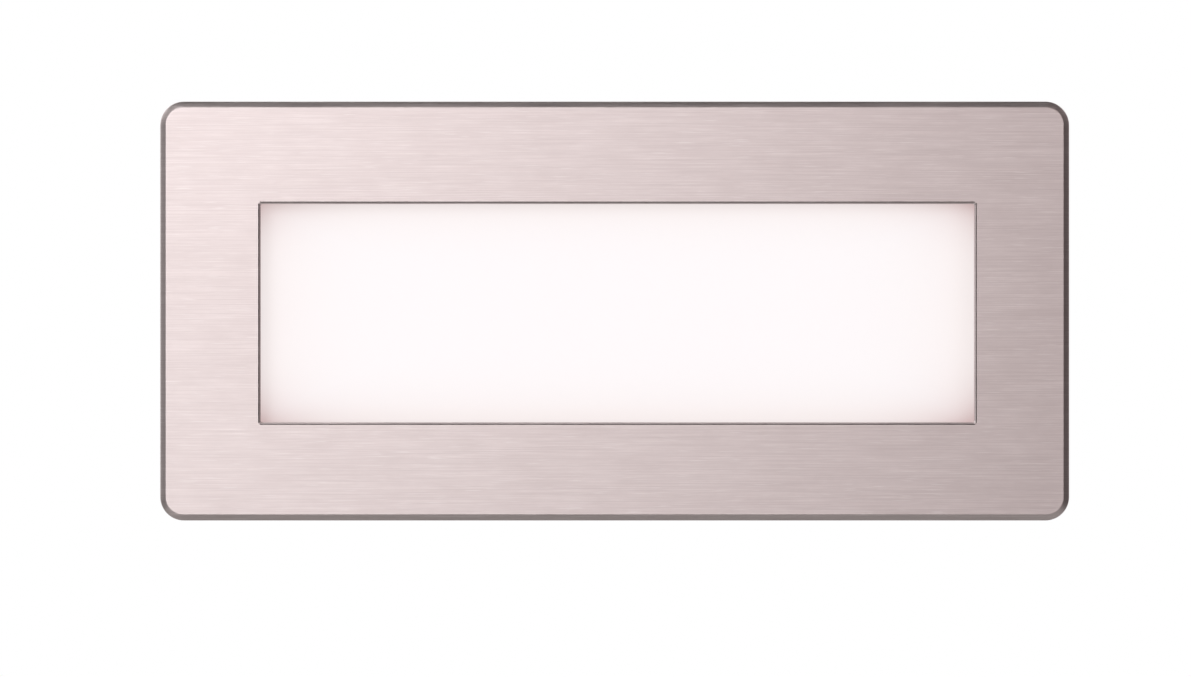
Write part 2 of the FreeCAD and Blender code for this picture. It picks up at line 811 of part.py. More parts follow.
def driver_posts():
    """The places of the posts under the driver's own board."""
    reach = s.driver_wall + s.driver_post_radius
    return [
        (driver_middle + side * (driver_width / 2 - reach), up * (s.driver_height / 2 - reach))
        for side in (-1, 1)
        for up in (-1, 1)
    ]


def make_driver_case():
    """The open moulded case of the driver, with four posts."""
    body = new_piece("driver_case", y=chamber_back)
    outer = rounded(driver_width, s.driver_height, s.driver_corner, driver_middle)
    extrude(body, PAD, FRONT, 0, s.driver_deep, outer)
    wall = s.driver_wall * 2
    inner = rounded(driver_width - wall, s.driver_height - wall, s.driver_corner / 2, driver_middle)
    extrude(body, POCKET, FRONT, s.driver_wall, s.driver_deep, inner)
    floor = s.driver_wall
    posts = discs(s.driver_post_radius, driver_posts())
    extrude(body, PAD, FRONT, floor / 2, floor + s.driver_post_high, *posts)


def make_driver_lid():
    """The lid of the driver, with a step that centres it."""
    body = new_piece("driver_lid", y=chamber_back + s.driver_deep)
    outer = rounded(driver_width, s.driver_height, s.driver_corner, driver_middle)
    extrude(body, PAD, FRONT, 0, s.driver_lid, outer)
    step = (s.driver_wall + s.driver_board_gap) * 2
    lip = rounded(driver_width - step, s.driver_height - step, s.driver_corner / 2, driver_middle)
    extrude(body, PAD, FRONT, -s.driver_lid / 2, 0, lip)


def driver_board_front():
    """The side of the driver's board that rests on the posts."""
    return chamber_back + s.driver_wall + s.driver_post_high


def make_driver_board():
    """The driver's circuit board."""
    body = new_piece("driver_board", y=driver_board_front())
    inset = (s.driver_wall + s.driver_board_gap) * 2
    plate = rectangle(driver_width - inset, s.driver_height - inset, driver_middle)
    extrude(body, PAD, FRONT, 0, s.driver_board_thick, plate)


def make_driver_transformer():
    """The transformer: a core with a wider winding round its middle."""
    middle = s.driver_right - s.transformer_inset
    body = new_piece("driver_transformer", x=middle, y=driver_board_front() + s.driver_board_thick)
    core = rectangle(s.transformer_long, s.transformer_wide)
    extrude(body, PAD, FRONT, 0, s.transformer_high, core)
    winding = rounded(s.winding_long, s.winding_wide, s.winding_corner)
    extrude(body, PAD, FRONT, s.winding_step, s.transformer_high - s.winding_step, winding)


def make_driver_capacitors():
    """Three round capacitors in a row beside the transformer."""
    middle = s.driver_right - s.capacitor_inset
    body = new_piece("driver_capacitors", x=middle, y=driver_board_front() + s.driver_board_thick)
    places = [(0, s.capacitor_pitch * step) for step in (-1, 0, 1)]
    extrude(body, PAD, FRONT, 0, s.capacitor_high, *discs(s.capacitor_radius, places))


def pole_heights():
    """The middle height of each pole of the terminal block."""
    count = number_of(s.pole_count)
    return [s.block_middle + s.pole_pitch * (pole - (s.pole_count - 1) / 2) for pole in range(count)]


def clamp_places():
    """The clamping screws, two to a pole, as X and Z."""
    middle = s.block_left + s.block_long / 2
    return [(middle + side * s.clamp_pitch / 2, up) for side in (-1, 1) for up in pole_heights()]


def make_terminal_block():
    """The moulded block: a square channel through it for each pole and a well above each screw."""
    body = new_piece("terminal_block", y=chamber_back)
    middle = s.block_left + s.block_long / 2
    outer = rounded(s.block_long, block_height, s.pole_wall, middle, s.block_middle)
    extrude(body, PAD, FRONT, 0, s.block_deep, outer)
    channel = s.insert_side + s.insert_gap * 2
    channels = [rectangle(channel, channel, s.insert_depth, up) for up in pole_heights()]
    extrude(body, POCKET, SIDE, s.block_left, s.block_left + s.block_long, *channels)
    wells = discs(s.clamp_head_radius + s.insert_gap, clamp_places())
    extrude(body, POCKET, FRONT, s.insert_depth, s.block_deep, *wells)


def make_terminal_inserts():
    """The brass clamps: square bars, bored for the cores and tapped for the screws."""
    body = new_piece("terminal_inserts", x=s.block_left + s.insert_inset, y=chamber_back)
    long = s.block_long - s.insert_inset * 2
    bars = [rectangle(s.insert_side, s.insert_side, s.insert_depth, up) for up in pole_heights()]
    bores = [disc(s.insert_bore, s.insert_depth, up) for up in pole_heights()]
    extrude(body, PAD, SIDE, 0, long, *bars, *bores)
    local = [(x - s.block_left - s.insert_inset, up) for x, up in clamp_places()]
    threads = discs(s.clamp_radius + s.screw_clear, local)
    extrude(body, POCKET, FRONT, s.insert_depth, s.insert_depth + s.insert_side / 2, *threads)


def make_terminal_screws():
    """The clamping screws, with a slot for the driver."""
    body = new_piece("terminal_screws", y=chamber_back + s.insert_depth + s.insert_side / 2)
    places = clamp_places()
    extrude(body, PAD, FRONT, 0, s.clamp_head_high, *discs(s.clamp_head_radius, places))
    extrude(body, PAD, FRONT, -s.insert_side / 2, 0, *discs(s.clamp_radius, places))
    slot_long = (s.clamp_head_radius + s.screw_slot_over) * 2
    slots = [rectangle(slot_long, s.screw_slot_wide, x, z) for x, z in places]
    extrude(body, POCKET, FRONT, s.clamp_head_high - s.screw_slot_deep, s.clamp_head_high, *slots)


def make_earth_lug():
    """The ring tongue under the earth screw."""
    body = new_piece("earth_lug", x=s.earth_right, y=chamber_back, z=s.earth_up)
    ring = disc(s.earth_lug_radius)
    extrude(body, PAD, FRONT, 0, s.earth_lug_thick, ring)
    half = s.earth_lug_radius / 2
    tongue = outline((-half, -s.earth_lug_long), (half, -s.earth_lug_long), (half, 0), (-half, 0))
    extrude(body, PAD, FRONT, 0, s.earth_lug_thick, tongue)
    extrude(body, POCKET, FRONT, 0, s.earth_lug_thick, disc(s.earth_radius + s.screw_pass))


def make_earth_screw():
    """The screw that ties the tongue to the tray, driven from behind."""
    body = new_piece("earth_screw", x=s.earth_right, y=chamber_back + s.earth_lug_thick, z=s.earth_up)
    extrude(body, PAD, FRONT, 0, s.earth_head_high, disc(s.earth_head_radius))
    extrude(body, PAD, FRONT, -s.earth_lug_thick - s.tray_sheet, 0, disc(s.earth_radius))
    slot = rectangle((s.earth_head_radius + s.screw_slot_over) * 2, s.screw_slot_wide)
    slot_floor = s.earth_head_high - s.screw_slot_deep
    extrude(body, POCKET, FRONT, slot_floor, s.earth_head_high, slot)


def make_driver_leads():
    """The two short leads from the terminal block to the driver."""
    body = new_piece("driver_leads", x=s.driver_right, y=chamber_back + s.insert_depth)
    ends = s.block_left + s.insert_inset * 2 - s.driver_right
    leads = [disc(s.lead_radius, 0, up) for up in pole_heights()[:2]]
    extrude(body, PAD, SIDE, 0, ends, *leads)


def make_led_leads():
    """The pair of leads that bend from the end of the driver through the tray to the board."""
    body = new_piece("led_leads", x=driver_left, y=tray_front)
    path = body.newObject("Sketcher::SketchObject", "Path")
    path.AttachmentSupport = [(origin_item(body, TOP), "")]
    path.MapMode = "FlatFace"
    bind(path, "AttachmentOffset.Base.z", s.lead_pitch / 2)
    bend, run, deep = s.lead_bend, s.lead_radius, s.lead_depth
    corner = FreeCAD.Vector(-run.number, deep.number - bend.number, 0)
    start = FreeCAD.Vector(0, deep.number, 0)
    path.addGeometry(Part.LineSegment(start, FreeCAD.Vector(-run.number, deep.number, 0)))
    circle = Part.Circle(corner, FreeCAD.Vector(0, 0, 1), bend.number)
    path.addGeometry(Part.ArcOfCircle(circle, math.radians(90), math.radians(180)))
    end = FreeCAD.Vector(-run.number - bend.number, 0, 0)
    path.addGeometry(Part.LineSegment(corner - FreeCAD.Vector(bend.number, 0, 0), end))
    path.addConstraint(Sketcher.Constraint("Tangent", 0, 2, 1, 1))
    path.addConstraint(Sketcher.Constraint("Tangent", 1, 2, 2, 1))
    path.addConstraint(Sketcher.Constraint("Horizontal", 0))
    path.addConstraint(Sketcher.Constraint("Vertical", 2))
    from_origin(path, 0, 1, 0, deep)
    dimension(path, "Radius", (1,), bend)
    from_origin(path, 2, 2, -run - bend, 0)
    section = sketch_on(body, SIDE, 0, [disc(s.lead_radius, deep, s.lead_pitch / 2)])
    pipe = body.newObject("PartDesign::AdditivePipe", "Lead")
    pipe.Profile = section
    pipe.Spine = path
    document.recompute()
    pair = body.newObject("PartDesign::Mirrored", "Pair")
    pair.Originals = [pipe]
    pair.MirrorPlane = (origin_item(body, TOP), [""])
    body.Tip = pair
    document.recompute()


# Cable gland


def make_gland_body():
    """The gland's body: a thread through the wall of the bay, a hexagon outside it and a neck for the nut."""
    body = new_piece("gland_body", x=s.bay_right, y=s.gland_depth, z=-gland_down)
    inside = -s.bay_wall - s.locknut_thick - s.frame_sheet
    extrude(body, PAD, SIDE, 0, s.gland_hex, hexagon(s.gland_flats))
    extrude(body, PAD, SIDE, inside, s.gland_hex + s.gland_neck, disc(s.gland_thread))
    extrude(body, POCKET, SIDE, inside, s.gland_hex + s.gland_neck, disc(s.gland_bore))
    seat = s.gland_hex + s.gland_neck - s.gland_seal_long
    extrude(body, POCKET, SIDE, seat, s.gland_hex + s.gland_neck, disc(s.gland_seat))


def make_gland_seal():
    """The soft sleeve round the cable."""
    start = s.bay_right + s.gland_hex + s.gland_neck - s.gland_seal_long
    body = new_piece("gland_seal", x=start, y=s.gland_depth, z=-gland_down)
    sleeve = [disc(s.gland_seat - s.thread_clear), disc(s.cable_radius)]
    extrude(body, PAD, SIDE, 0, s.gland_seal_long, *sleeve)


def make_gland_nut():
    """The domed nut that squeezes the sleeve."""
    body = new_piece("gland_nut", x=s.bay_right + s.gland_nut_start, y=s.gland_depth, z=-gland_down)
    extrude(body, PAD, SIDE, 0, s.gland_nut_hex, hexagon(s.gland_flats))
    extrude(body, PAD, SIDE, 0, s.gland_nut_long, disc(s.gland_flats / 2))
    end = s.bay_right + s.gland_nut_start + s.gland_nut_long
    round_edges(body, s.gland_nut_round, lambda box: near(box.XMin, end) and near(box.XMax, end))
    bore = s.gland_hex + s.gland_neck - s.gland_nut_start
    extrude(body, POCKET, SIDE, 0, bore, disc(s.gland_thread + s.thread_clear))
    extrude(body, POCKET, SIDE, bore, s.gland_nut_long, disc(s.gland_nut_bore))


def make_gland_locknut():
    """The round nut inside the bay, with notches for a spanner."""
    start = s.bay_right - s.bay_wall - s.locknut_thick
    body = new_piece("gland_locknut", x=start, y=s.gland_depth, z=-gland_down)
    ring = [disc(s.locknut_radius), disc(s.gland_thread + s.thread_clear)]
    extrude(body, PAD, SIDE, 0, s.locknut_thick, *ring)
    notch = rectangle(s.locknut_notch, s.locknut_notch * 2, 0, s.locknut_radius)
    cut = extrude(body, POCKET, SIDE, 0, s.locknut_thick, notch)
    ring_of_notches = body.newObject("PartDesign::PolarPattern", "Notches")
    ring_of_notches.Originals = [cut]
    ring_of_notches.Axis = (origin_item(body, "X_Axis"), [""])
    ring_of_notches.Occurrences = 6
    body.Tip = ring_of_notches
    document.recompute()


# Leaf clips of the faceplate


def make_fascia_clips():
    """Four clips pushed over the edge of the rim, each with a bent leaf that presses on the folded edge."""
    body = new_piece("fascia_clips", y=rim_front)
    edge = rim_height / 2
    sheet_thick = s.clip_sheet
    reach = s.face_height / 2 - s.face_sheet - edge - s.leaf_gap
    back = s.rim_thick
    for side in (1, -1):
        def flip(points):
            return [(y, side * (edge + z)) for y, z in points]

        saddle = flip([
            (-sheet_thick, -s.clip_leg), (0, -s.clip_leg), (0, 0), (back, 0),
            (back, -s.clip_leg), (back + sheet_thick, -s.clip_leg), (back + sheet_thick, sheet_thick),
            (-sheet_thick, sheet_thick),
        ])
        leaf = flip([
            (-sheet_thick, 0), (-sheet_thick, sheet_thick * 2), (s.leaf_peak, reach),
            (s.leaf_tail, reach - s.leaf_tail_drop), (s.leaf_tail - sheet_thick, reach - s.leaf_tail_drop),
            (s.leaf_peak, reach - s.leaf_bend_gap), (0, sheet_thick), (0, 0),
        ])
        for x in clip_places:
            extrude(body, PAD, SIDE, x - s.clip_wide / 2, x + s.clip_wide / 2, outline(*saddle))
            extrude(body, PAD, SIDE, x - s.leaf_wide / 2, x + s.leaf_wide / 2, outline(*leaf))
    holes = discs(s.clip_rivet_radius + s.screw_clear, clip_rivet_places())
    extrude(body, POCKET, FRONT, -sheet_thick, s.rim_thick + sheet_thick, *holes)


def make_clip_rivets():
    """One rivet through each clip and the rim, closed at the back."""
    body = new_piece("clip_rivets", y=rim_front)
    places = clip_rivet_places()
    front = -s.clip_sheet
    back = s.rim_thick + s.clip_sheet
    extrude(body, PAD, FRONT, front, back, *discs(s.clip_rivet_radius, places))
    extrude(body, PAD, FRONT, front - s.clip_sheet, front, *discs(s.clip_rivet_head, places))
    extrude(body, PAD, FRONT, back, back + s.clip_sheet / 2, *discs(s.clip_rivet_head, places))


# Spring arms. The right one is built as seen; the left one is its mirror image, with side = -1.

pin_depth = wall_back + s.bracket_sheet + s.coil_gap + s.coil_radius + s.coil_wire / 2
ear_inner = s.arm_wide / 2 + s.arm_side_gap
ear_outer = ear_inner + s.bracket_sheet


def make_bracket(label, side):
    """The hinge bracket: a base on the back of the light chamber and two round-topped ears."""
    body = new_piece(label, x=pin_right * side, y=wall_back)
    inner, outer = -s.bracket_in * side, s.bracket_out * side
    base = outline((inner, -ear_outer), (outer, -ear_outer), (outer, ear_outer), (inner, ear_outer))
    extrude(body, PAD, FRONT, 0, s.bracket_sheet, base)
    pin = pin_depth - wall_back
    cheek = outline((-s.ear_radius, 0), (s.ear_radius, 0), (s.ear_radius, pin), (-s.ear_radius, pin))
    for start, stop in ((ear_inner, ear_outer), (-ear_outer, -ear_inner)):
        extrude(body, PAD, TOP, start, stop, cheek)
        extrude(body, PAD, TOP, start, stop, disc(s.ear_radius, 0, pin))
    extrude(body, POCKET, TOP, -ear_outer, ear_outer, disc(s.pin_radius + s.screw_clear, 0, pin))
    hole_x = (s.rivet_inset - s.bracket_in) * side
    holes = [disc(s.rivet_radius + s.screw_clear, hole_x, up * s.rivet_spacing / 2) for up in (-1, 1)]
    extrude(body, POCKET, FRONT, 0, s.bracket_sheet, *holes)


def make_bracket_rivets():
    """Two rivets to each bracket, set in the back wall of the light chamber."""
    body = new_piece("bracket_rivets", y=wall_back + s.bracket_sheet)
    places = bracket_rivet_places()
    extrude(body, PAD, FRONT, -s.bracket_sheet - s.rivet_depth, 0, *discs(s.rivet_radius, places))
    extrude(body, PAD, FRONT, 0, s.rivet_head_high, *discs(s.rivet_head, places))


def make_pin(label, side):
    """The hinge pin, headed at both ends."""
    body = new_piece(label, x=pin_right * side, y=pin_depth)
    end = ear_outer + s.screw_clear
    extrude(body, PAD, TOP, -end, end, disc(s.pin_radius))
    extrude(body, PAD, TOP, end, end + s.pin_head_high, disc(s.pin_head))
    extrude(body, PAD, TOP, -end - s.pin_head_high, -end, disc(s.pin_head))


def make_arm(label, side):
    """The sheet arm: rolled knuckles, a leaf with a window for the coil, and a tip rolled over."""
    body = new_piece(label, x=pin_right * side, y=pin_depth)
    half = s.arm_wide / 2
    window = s.arm_window / 2
    leaf_middle = s.arm_knuckle - s.arm_sheet / 2
    reach = box_width / 2 - s.arm_wall_gap - s.arm_tip - pin_right
    long = (reach + leaf_middle * cosine(s.arm_angle)) / sine(s.arm_angle)
    inner, outer = -s.arm_knuckle * side, (s.arm_sheet - s.arm_knuckle) * side
    leaf = outline((inner, 0), (outer, 0), (outer, long), (inner, long))
    extrude(body, PAD, TOP, -half, half, leaf)
    extrude(body, PAD, TOP, -half, half, disc(s.arm_knuckle))
    extrude(body, PAD, TOP, -half, half, disc(s.arm_tip, -leaf_middle * side, long))
    reach_in = s.arm_window_back
    top = s.arm_window_long
    hole = outline((-reach_in, -reach_in), (reach_in, -reach_in), (reach_in, top), (-reach_in, top))
    extrude(body, POCKET, TOP, -window, window, hole)
    extrude(body, POCKET, TOP, -half, half, disc(s.pin_radius + s.screw_clear))
    body.Placement = FreeCAD.Placement(body.Placement.Base, FreeCAD.Rotation(FreeCAD.Vector(0, 0, -side), 1))
    bind(body, "Placement.Rotation.Angle", s.arm_angle)
    document.recompute()


def biarc(start, start_way, end, end_way):
    """Two arcs that leave and arrive in the given ways and join smoothly."""
    span = end - start
    ways = start_way + end_way
    square = 2 * (1 - start_way.dot(end_way))
    along = span.dot(ways)
    distance = (math.sqrt(along ** 2 + square * span.dot(span)) - along) / square
    join = (start + end + (start_way - end_way) * distance) / 2
    return [arc_along(start, start_way, join), arc_along(end, -end_way, join)]


def arc_along(start, way, end):
    """The arc from one point to another that leaves in the given way."""
    chord = end - start
    along = chord / chord.Length
    side = way - along * way.dot(along)
    side.normalize()
    half_turn = way.getAngle(along)
    middle = (start + end) / 2 + side * (chord.Length / 2 * math.tan(half_turn / 2))
    return Part.Arc(start, middle, end).toShape()


def coil_path(side):
    """The middle line of a torsion spring: foot on the bracket, turns round the pin, leg along the arm.

    Angles run backwards, from the bottom of the pin to the inner side of the arm, after the full turns.
    """
    radius, pitch = s.coil_radius.number, s.coil_pitch.number
    turn = 90 + s.arm_angle.number + 360 * s.coil_turns.number
    spans = math.ceil(turn / HALF_TURN)
    rise = pitch * turn / 360

    def place(part):
        angle = math.radians(-90 - turn * part)
        point = FreeCAD.Vector(radius * math.cos(angle), radius * math.sin(angle), rise * (part - 0.5))
        way = FreeCAD.Vector(math.sin(angle), -math.cos(angle), pitch / (2 * math.pi * radius))
        way.normalize()
        return point, way

    def flip(vector):
        return FreeCAD.Vector(vector.x * side, vector.y, vector.z)

    places = [tuple(flip(vector) for vector in place(step / spans)) for step in range(spans + 1)]
    first, first_way = places[0]
    last, last_way = places[-1]
    foot = first - first_way * s.coil_foot.number
    leg = last + last_way * s.coil_leg.number
    edges = [Part.LineSegment(foot, first).toShape()]
    for (start, start_way), (end, end_way) in zip(places, places[1:]):
        edges += biarc(start, start_way, end, end_way)
    edges.append(Part.LineSegment(last, leg).toShape())
    return Part.Wire(Part.__sortEdges__(edges)), foot, first_way


def least_gap(path, wire):
    """The least gap between parts of the wire that are more than half a turn apart along it."""
    points = path.discretize(Distance=GAP_STEP)
    apart = int(math.pi * s.coil_radius.number / GAP_STEP)
    pairs = [(a, b) for i, a in enumerate(points) for b in points[i + apart:]]
    return min((a - b).Length - wire for a, b in pairs)


def make_spring(label, side):
    """The wound torsion spring: one unbroken tube."""
    path, start, way = coil_path(side)
    ring = Part.Wire(Part.makeCircle(s.coil_wire.number / 2, start, way))
    tube = path.makePipeShell([ring], True, False)
    piece = document.addObject("Part::Feature", label)
    piece.Label = label
    piece.Shape = Part.Solid(tube) if tube.ShapeType == "Shell" else tube
    bind(piece, "Placement.Base.x", pin_right * side)
    bind(piece, "Placement.Base.y", pin_depth)
    document.recompute()
    section = math.pi * (s.coil_wire.number / 2) ** 2
    print(f"{label}: least gap {least_gap(path, s.coil_wire.number):.2f} mm, "
          f"volume {piece.Shape.Volume:.2f} of {section * path.Length:.2f} mm3")


# Build, check and write


def make_all():
    """Every piece of the light, from the front to the back."""
    make_fascia()
    make_clamp_frame()
    clamp_length = s.frame_sheet + s.frame_screw_depth - s.screw_pass
    make_screws("clamp_screws", frame_front, clamp_length, frame_screw_places)
    make_diffuser_glass()
    make_glass_gasket()
    make_lamp_housing()
    make_flange_gasket()
    make_recess_box()
    make_reflector()
    make_leds()
    make_led_board()
    make_screws("led_board_screws", board_front, s.board_thick + s.tray_sheet, board_screw_places)
    make_gear_tray()
    make_screws("gear_tray_screws", tray_front, s.tray_screw_length, tray_screw_places)
    make_driver_case()
    make_driver_lid()
    make_driver_board()
    make_driver_transformer()
    make_driver_capacitors()
    make_terminal_block()
    make_terminal_inserts()
    make_terminal_screws()
    make_earth_lug()
    make_earth_screw()
    make_driver_leads()
    make_led_leads()
    make_gland_body()
    make_gland_seal()
    make_gland_nut()
    make_gland_locknut()
    make_fascia_clips()
    make_clip_rivets()
    make_bracket_rivets()
    for name, side in (("left", -1), ("right", 1)):
        make_bracket(f"{name}_bracket", side)
        make_pin(f"{name}_pin", side)
        make_arm(f"{name}_arm", side)
        make_spring(f"{name}_spring", side)


def check_and_write():
    """Stops at a failed object or a bad shape, then writes each piece."""
    document.recompute()
    failed = [item.Label for item in document.Objects if {"Invalid", "Error"} & set(item.State)]
    if failed:
        raise ValueError(f"failed: {failed}")
    pieces = [item for item in document.Objects if item.TypeId in ("PartDesign::Body", "Part::Feature")]
    bad = [item.Label for item in pieces if item.Shape.isNull() or not item.Shape.isValid()]
    if bad:
        raise ValueError(f"bad shapes: {bad}")
    os.makedirs("parts", exist_ok=True)
    for piece in pieces:
        piece.Shape.exportStep(f"parts/{piece.Label}.step")
        print(f"{piece.Label}: {len(piece.Shape.Solids)} solids, {piece.Shape.Volume:.1f} mm3")


make_all()
check_and_write()
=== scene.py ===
# %% [markdown]
# # A step light that takes the place of a brick
#
# The real object is a box built into a wall. What a visitor sees is a folded plate of brushed steel with
# a lit window of frosted glass in it. Behind the plate are a cast lamp body, two sprung arms that grip the
# box, a cable gland and leaf clips that hold the plate.
#
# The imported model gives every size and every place, so this lesson starts by loading it. Each later cell
# either replaces one of its solids by a finer one, or leaves the solid and gives it a finish.

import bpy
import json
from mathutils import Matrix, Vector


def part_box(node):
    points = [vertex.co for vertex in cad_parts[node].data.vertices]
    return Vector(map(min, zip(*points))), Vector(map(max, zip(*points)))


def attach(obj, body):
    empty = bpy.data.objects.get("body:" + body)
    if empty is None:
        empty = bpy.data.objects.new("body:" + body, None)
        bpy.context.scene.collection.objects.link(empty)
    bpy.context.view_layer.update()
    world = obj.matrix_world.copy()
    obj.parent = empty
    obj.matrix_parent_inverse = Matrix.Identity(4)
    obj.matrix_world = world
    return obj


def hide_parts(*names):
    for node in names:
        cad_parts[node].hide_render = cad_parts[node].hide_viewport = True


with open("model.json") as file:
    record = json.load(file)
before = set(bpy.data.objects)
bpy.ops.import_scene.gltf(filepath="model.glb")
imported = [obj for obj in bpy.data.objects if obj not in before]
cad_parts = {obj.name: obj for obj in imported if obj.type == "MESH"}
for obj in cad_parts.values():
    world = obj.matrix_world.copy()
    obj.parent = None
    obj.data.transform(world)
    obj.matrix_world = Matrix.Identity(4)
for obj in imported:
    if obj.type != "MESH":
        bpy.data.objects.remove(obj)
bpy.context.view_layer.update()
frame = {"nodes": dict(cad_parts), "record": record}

# %% [markdown]
# Blender works in metres, and this object is drawn in millimetres, so a millimetre gets a name. The three
# axes get names too: X runs along the plate, Y into the wall and Z up.

# %% Name the units and the axes
import json
import math

import bmesh
import bpy
from mathutils import Matrix, Vector

mm = 0.001
X, Y, Z = range(3)
nodes = frame["nodes"]
print("lengths are written in millimetres, each as", mm, "m")

# %% [markdown]
# ## Working by hand, in code
#
# Blender's operators work on what is selected, just as they do from its menus. The next helpers do the
# clicking: they choose one object, go in and out of edit mode, and select faces or edges by a test on
# their place. The test is written where the piece is made, so that it can be read there.


# %% Choose an object, and select faces or edges of it
def choose(piece):
    """Leaves edit mode, deselects all, and makes this piece the active one."""
    if bpy.context.mode != "OBJECT":
        bpy.ops.object.mode_set(mode="OBJECT")
    bpy.ops.object.select_all(action="DESELECT")
    piece.select_set(True)
    bpy.context.view_layer.objects.active = piece


def edit(piece):
    """Opens a piece in edit mode with nothing selected."""
    choose(piece)
    bpy.ops.object.mode_set(mode="EDIT")
    bpy.ops.mesh.select_all(action="DESELECT")


def select(piece, kind, test):
    """Selects the faces or edges of an open piece that pass the test, and says how many."""
    bpy.ops.mesh.select_mode(type=kind)
    bpy.ops.mesh.select_all(action="DESELECT")
    mesh = bmesh.from_edit_mesh(piece.data)
    found = [part for part in (mesh.faces if kind == "FACE" else mesh.edges) if test(part)]
    for part in found:
        part.select_set(True)
    bmesh.update_edit_mesh(piece.data)
    return len(found)


# %% [markdown]
# Three questions are enough to find every face and edge that the lesson shapes: are two places the same,
# does a part lie flat at one place of an axis, and does an edge run along an axis?


# %% Ask where a part lies
def near(first, second, slack=0.02 * mm):
    """Whether two places are the same, within a fiftieth of a millimetre."""
    return abs(first - second) < slack


def lies_at(part, axis, place):
    """Whether all corners of a face or an edge are at this place of an axis."""
    return all(near(corner.co[axis], place) for corner in part.verts)


def runs_along(edge, axis):
    """Whether an edge runs along an axis."""
    start, end = edge.verts[0].co, edge.verts[1].co
    return all(near(start[other], end[other]) for other in (X, Y, Z) if other != axis)


# %% [markdown]
# A primitive is only a start. Nearly all machined and folded parts begin as a block or a rod, so these two
# come next, each added at its size and place.


# %% Start with a block or a rod
def add_block(name, low, high):
    """A block between two corners."""
    low, high = Vector(low), Vector(high)
    bpy.ops.object.select_all(action="DESELECT")
    bpy.ops.mesh.primitive_cube_add(size=1, location=(low + high) / 2)
    block = bpy.context.active_object
    block.name = name
    block.scale = high - low
    bpy.ops.object.transform_apply(location=True, rotation=True, scale=True)
    return block


def add_rod(name, radius, start, end, sides=32):
    """A rod from one point to another."""
    start, end = Vector(start), Vector(end)
    along = end - start
    bpy.ops.object.select_all(action="DESELECT")
    bpy.ops.mesh.primitive_cylinder_add(
        vertices=sides, radius=radius, depth=along.length, location=(start + end) / 2,
        rotation=along.to_track_quat("Z", "Y").to_euler(),
    )
    rod = bpy.context.active_object
    rod.name = name
    bpy.ops.object.transform_apply(location=True, rotation=True, scale=True)
    return rod


# %% [markdown]
# When a piece is done, corners that lie on each other are merged. It gets smooth shading that stops at real
# edges, and normals that lean on the large faces, so that a flat face next to a small round stays flat in
# the light. Then it rides on its body, and the solid that it stands for is hidden.


# %% Finish a piece
same_corner = 0.0015 * mm
smooth_below = math.radians(32)
lean_on_large = 60


def apply_modifier(piece, kind, **settings):
    """Adds a modifier with these settings and applies it."""
    choose(piece)
    modifier = piece.modifiers.new(kind.title(), kind)
    for name, value in settings.items():
        setattr(modifier, name, value)
    bpy.ops.object.modifier_apply(modifier=modifier.name)


def complete(piece, body, slot, *stands_for):
    """Merges and shades a piece, gives it its finish, and sets it on its body in place of its solid."""
    edit(piece)
    bpy.ops.mesh.select_all(action="SELECT")
    bpy.ops.mesh.remove_doubles(threshold=same_corner)
    bpy.ops.object.mode_set(mode="OBJECT")
    bpy.ops.object.shade_smooth_by_angle(angle=smooth_below)
    apply_modifier(piece, "WEIGHTED_NORMAL", keep_sharp=True, weight=lean_on_large)
    piece.data.materials.clear()
    piece.data.materials.append(finishes[slot])
    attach(piece, body)
    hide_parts(*stands_for)
    piece.select_set(False)
    print(piece.name, "has", len(piece.data.polygons), "faces")


# %% [markdown]
# Many solids have the right form but edges as sharp as a drawing. A real casting or moulding has a small
# round on every edge, and that round is what catches the light. In a copy of the solid, corners of the
# packed triangles that lie on each other are merged, and triangles that form one flat face are joined
# again. Then a narrow bevel goes along every edge that is sharper than 35 degrees.


# %% Soften the edges of a solid
packed_corner = 0.004 * mm
flat_below = math.radians(0.5)
sharp_above = math.radians(35)


def soften(node, name, width):
    """A copy of a solid with small rounds on its edges."""
    piece = bpy.data.objects.new(name, nodes[node].data.copy())
    bpy.context.scene.collection.objects.link(piece)
    edit(piece)
    bpy.ops.mesh.select_all(action="SELECT")
    bpy.ops.mesh.customdata_custom_splitnormals_clear()
    bpy.ops.mesh.remove_doubles(threshold=packed_corner)
    bpy.ops.mesh.normals_make_consistent(inside=False)
    bpy.ops.mesh.dissolve_limited(angle_limit=flat_below)
    bpy.ops.object.mode_set(mode="OBJECT")
    apply_modifier(
        piece, "BEVEL", width=width, segments=2, limit_method="ANGLE", angle_limit=sharp_above,
        use_clamp_overlap=False,
    )
    return piece


# %% [markdown]
# ## Finishes
#
# Each finish is a small network of nodes that reads the piece's own coordinates, so the pattern stays on
# the piece when it moves. Noise of one size varies the colour, finer noise varies the roughness, and the
# finest is felt as a bump. Colours are given as a painter would pick them from a screen, from 0 to 255.


# %% Colours, and a material to start from
def paint(red, green, blue):
    """A screen colour as the light values that a shader takes."""
    def light(value):
        share = value / 255
        return share / 12.92 if share <= 0.04045 else ((share + 0.055) / 1.055) ** 2.4
    return (light(red), light(green), light(blue), 1)


print("a screen grey of 128 is", round(paint(128, 128, 128)[0], 3), "of the full light")


def new_finish(name, colour, roughness, metallic=0.0, **sockets):
    """A material with a plain shader, and any further sockets set on the shader itself."""
    finish = bpy.data.materials.new(name)
    finish.use_nodes = True
    shader = finish.node_tree.nodes["Principled BSDF"]
    shader.inputs["Base Color"].default_value = colour
    shader.inputs["Roughness"].default_value = roughness
    shader.inputs["Metallic"].default_value = metallic
    for socket, value in sockets.items():
        shader.inputs[socket.replace("_", " ")].default_value = value
    finish.diffuse_color = colour
    return finish


def shader_of(finish):
    """The shader node of a finish."""
    return finish.node_tree.nodes["Principled BSDF"]


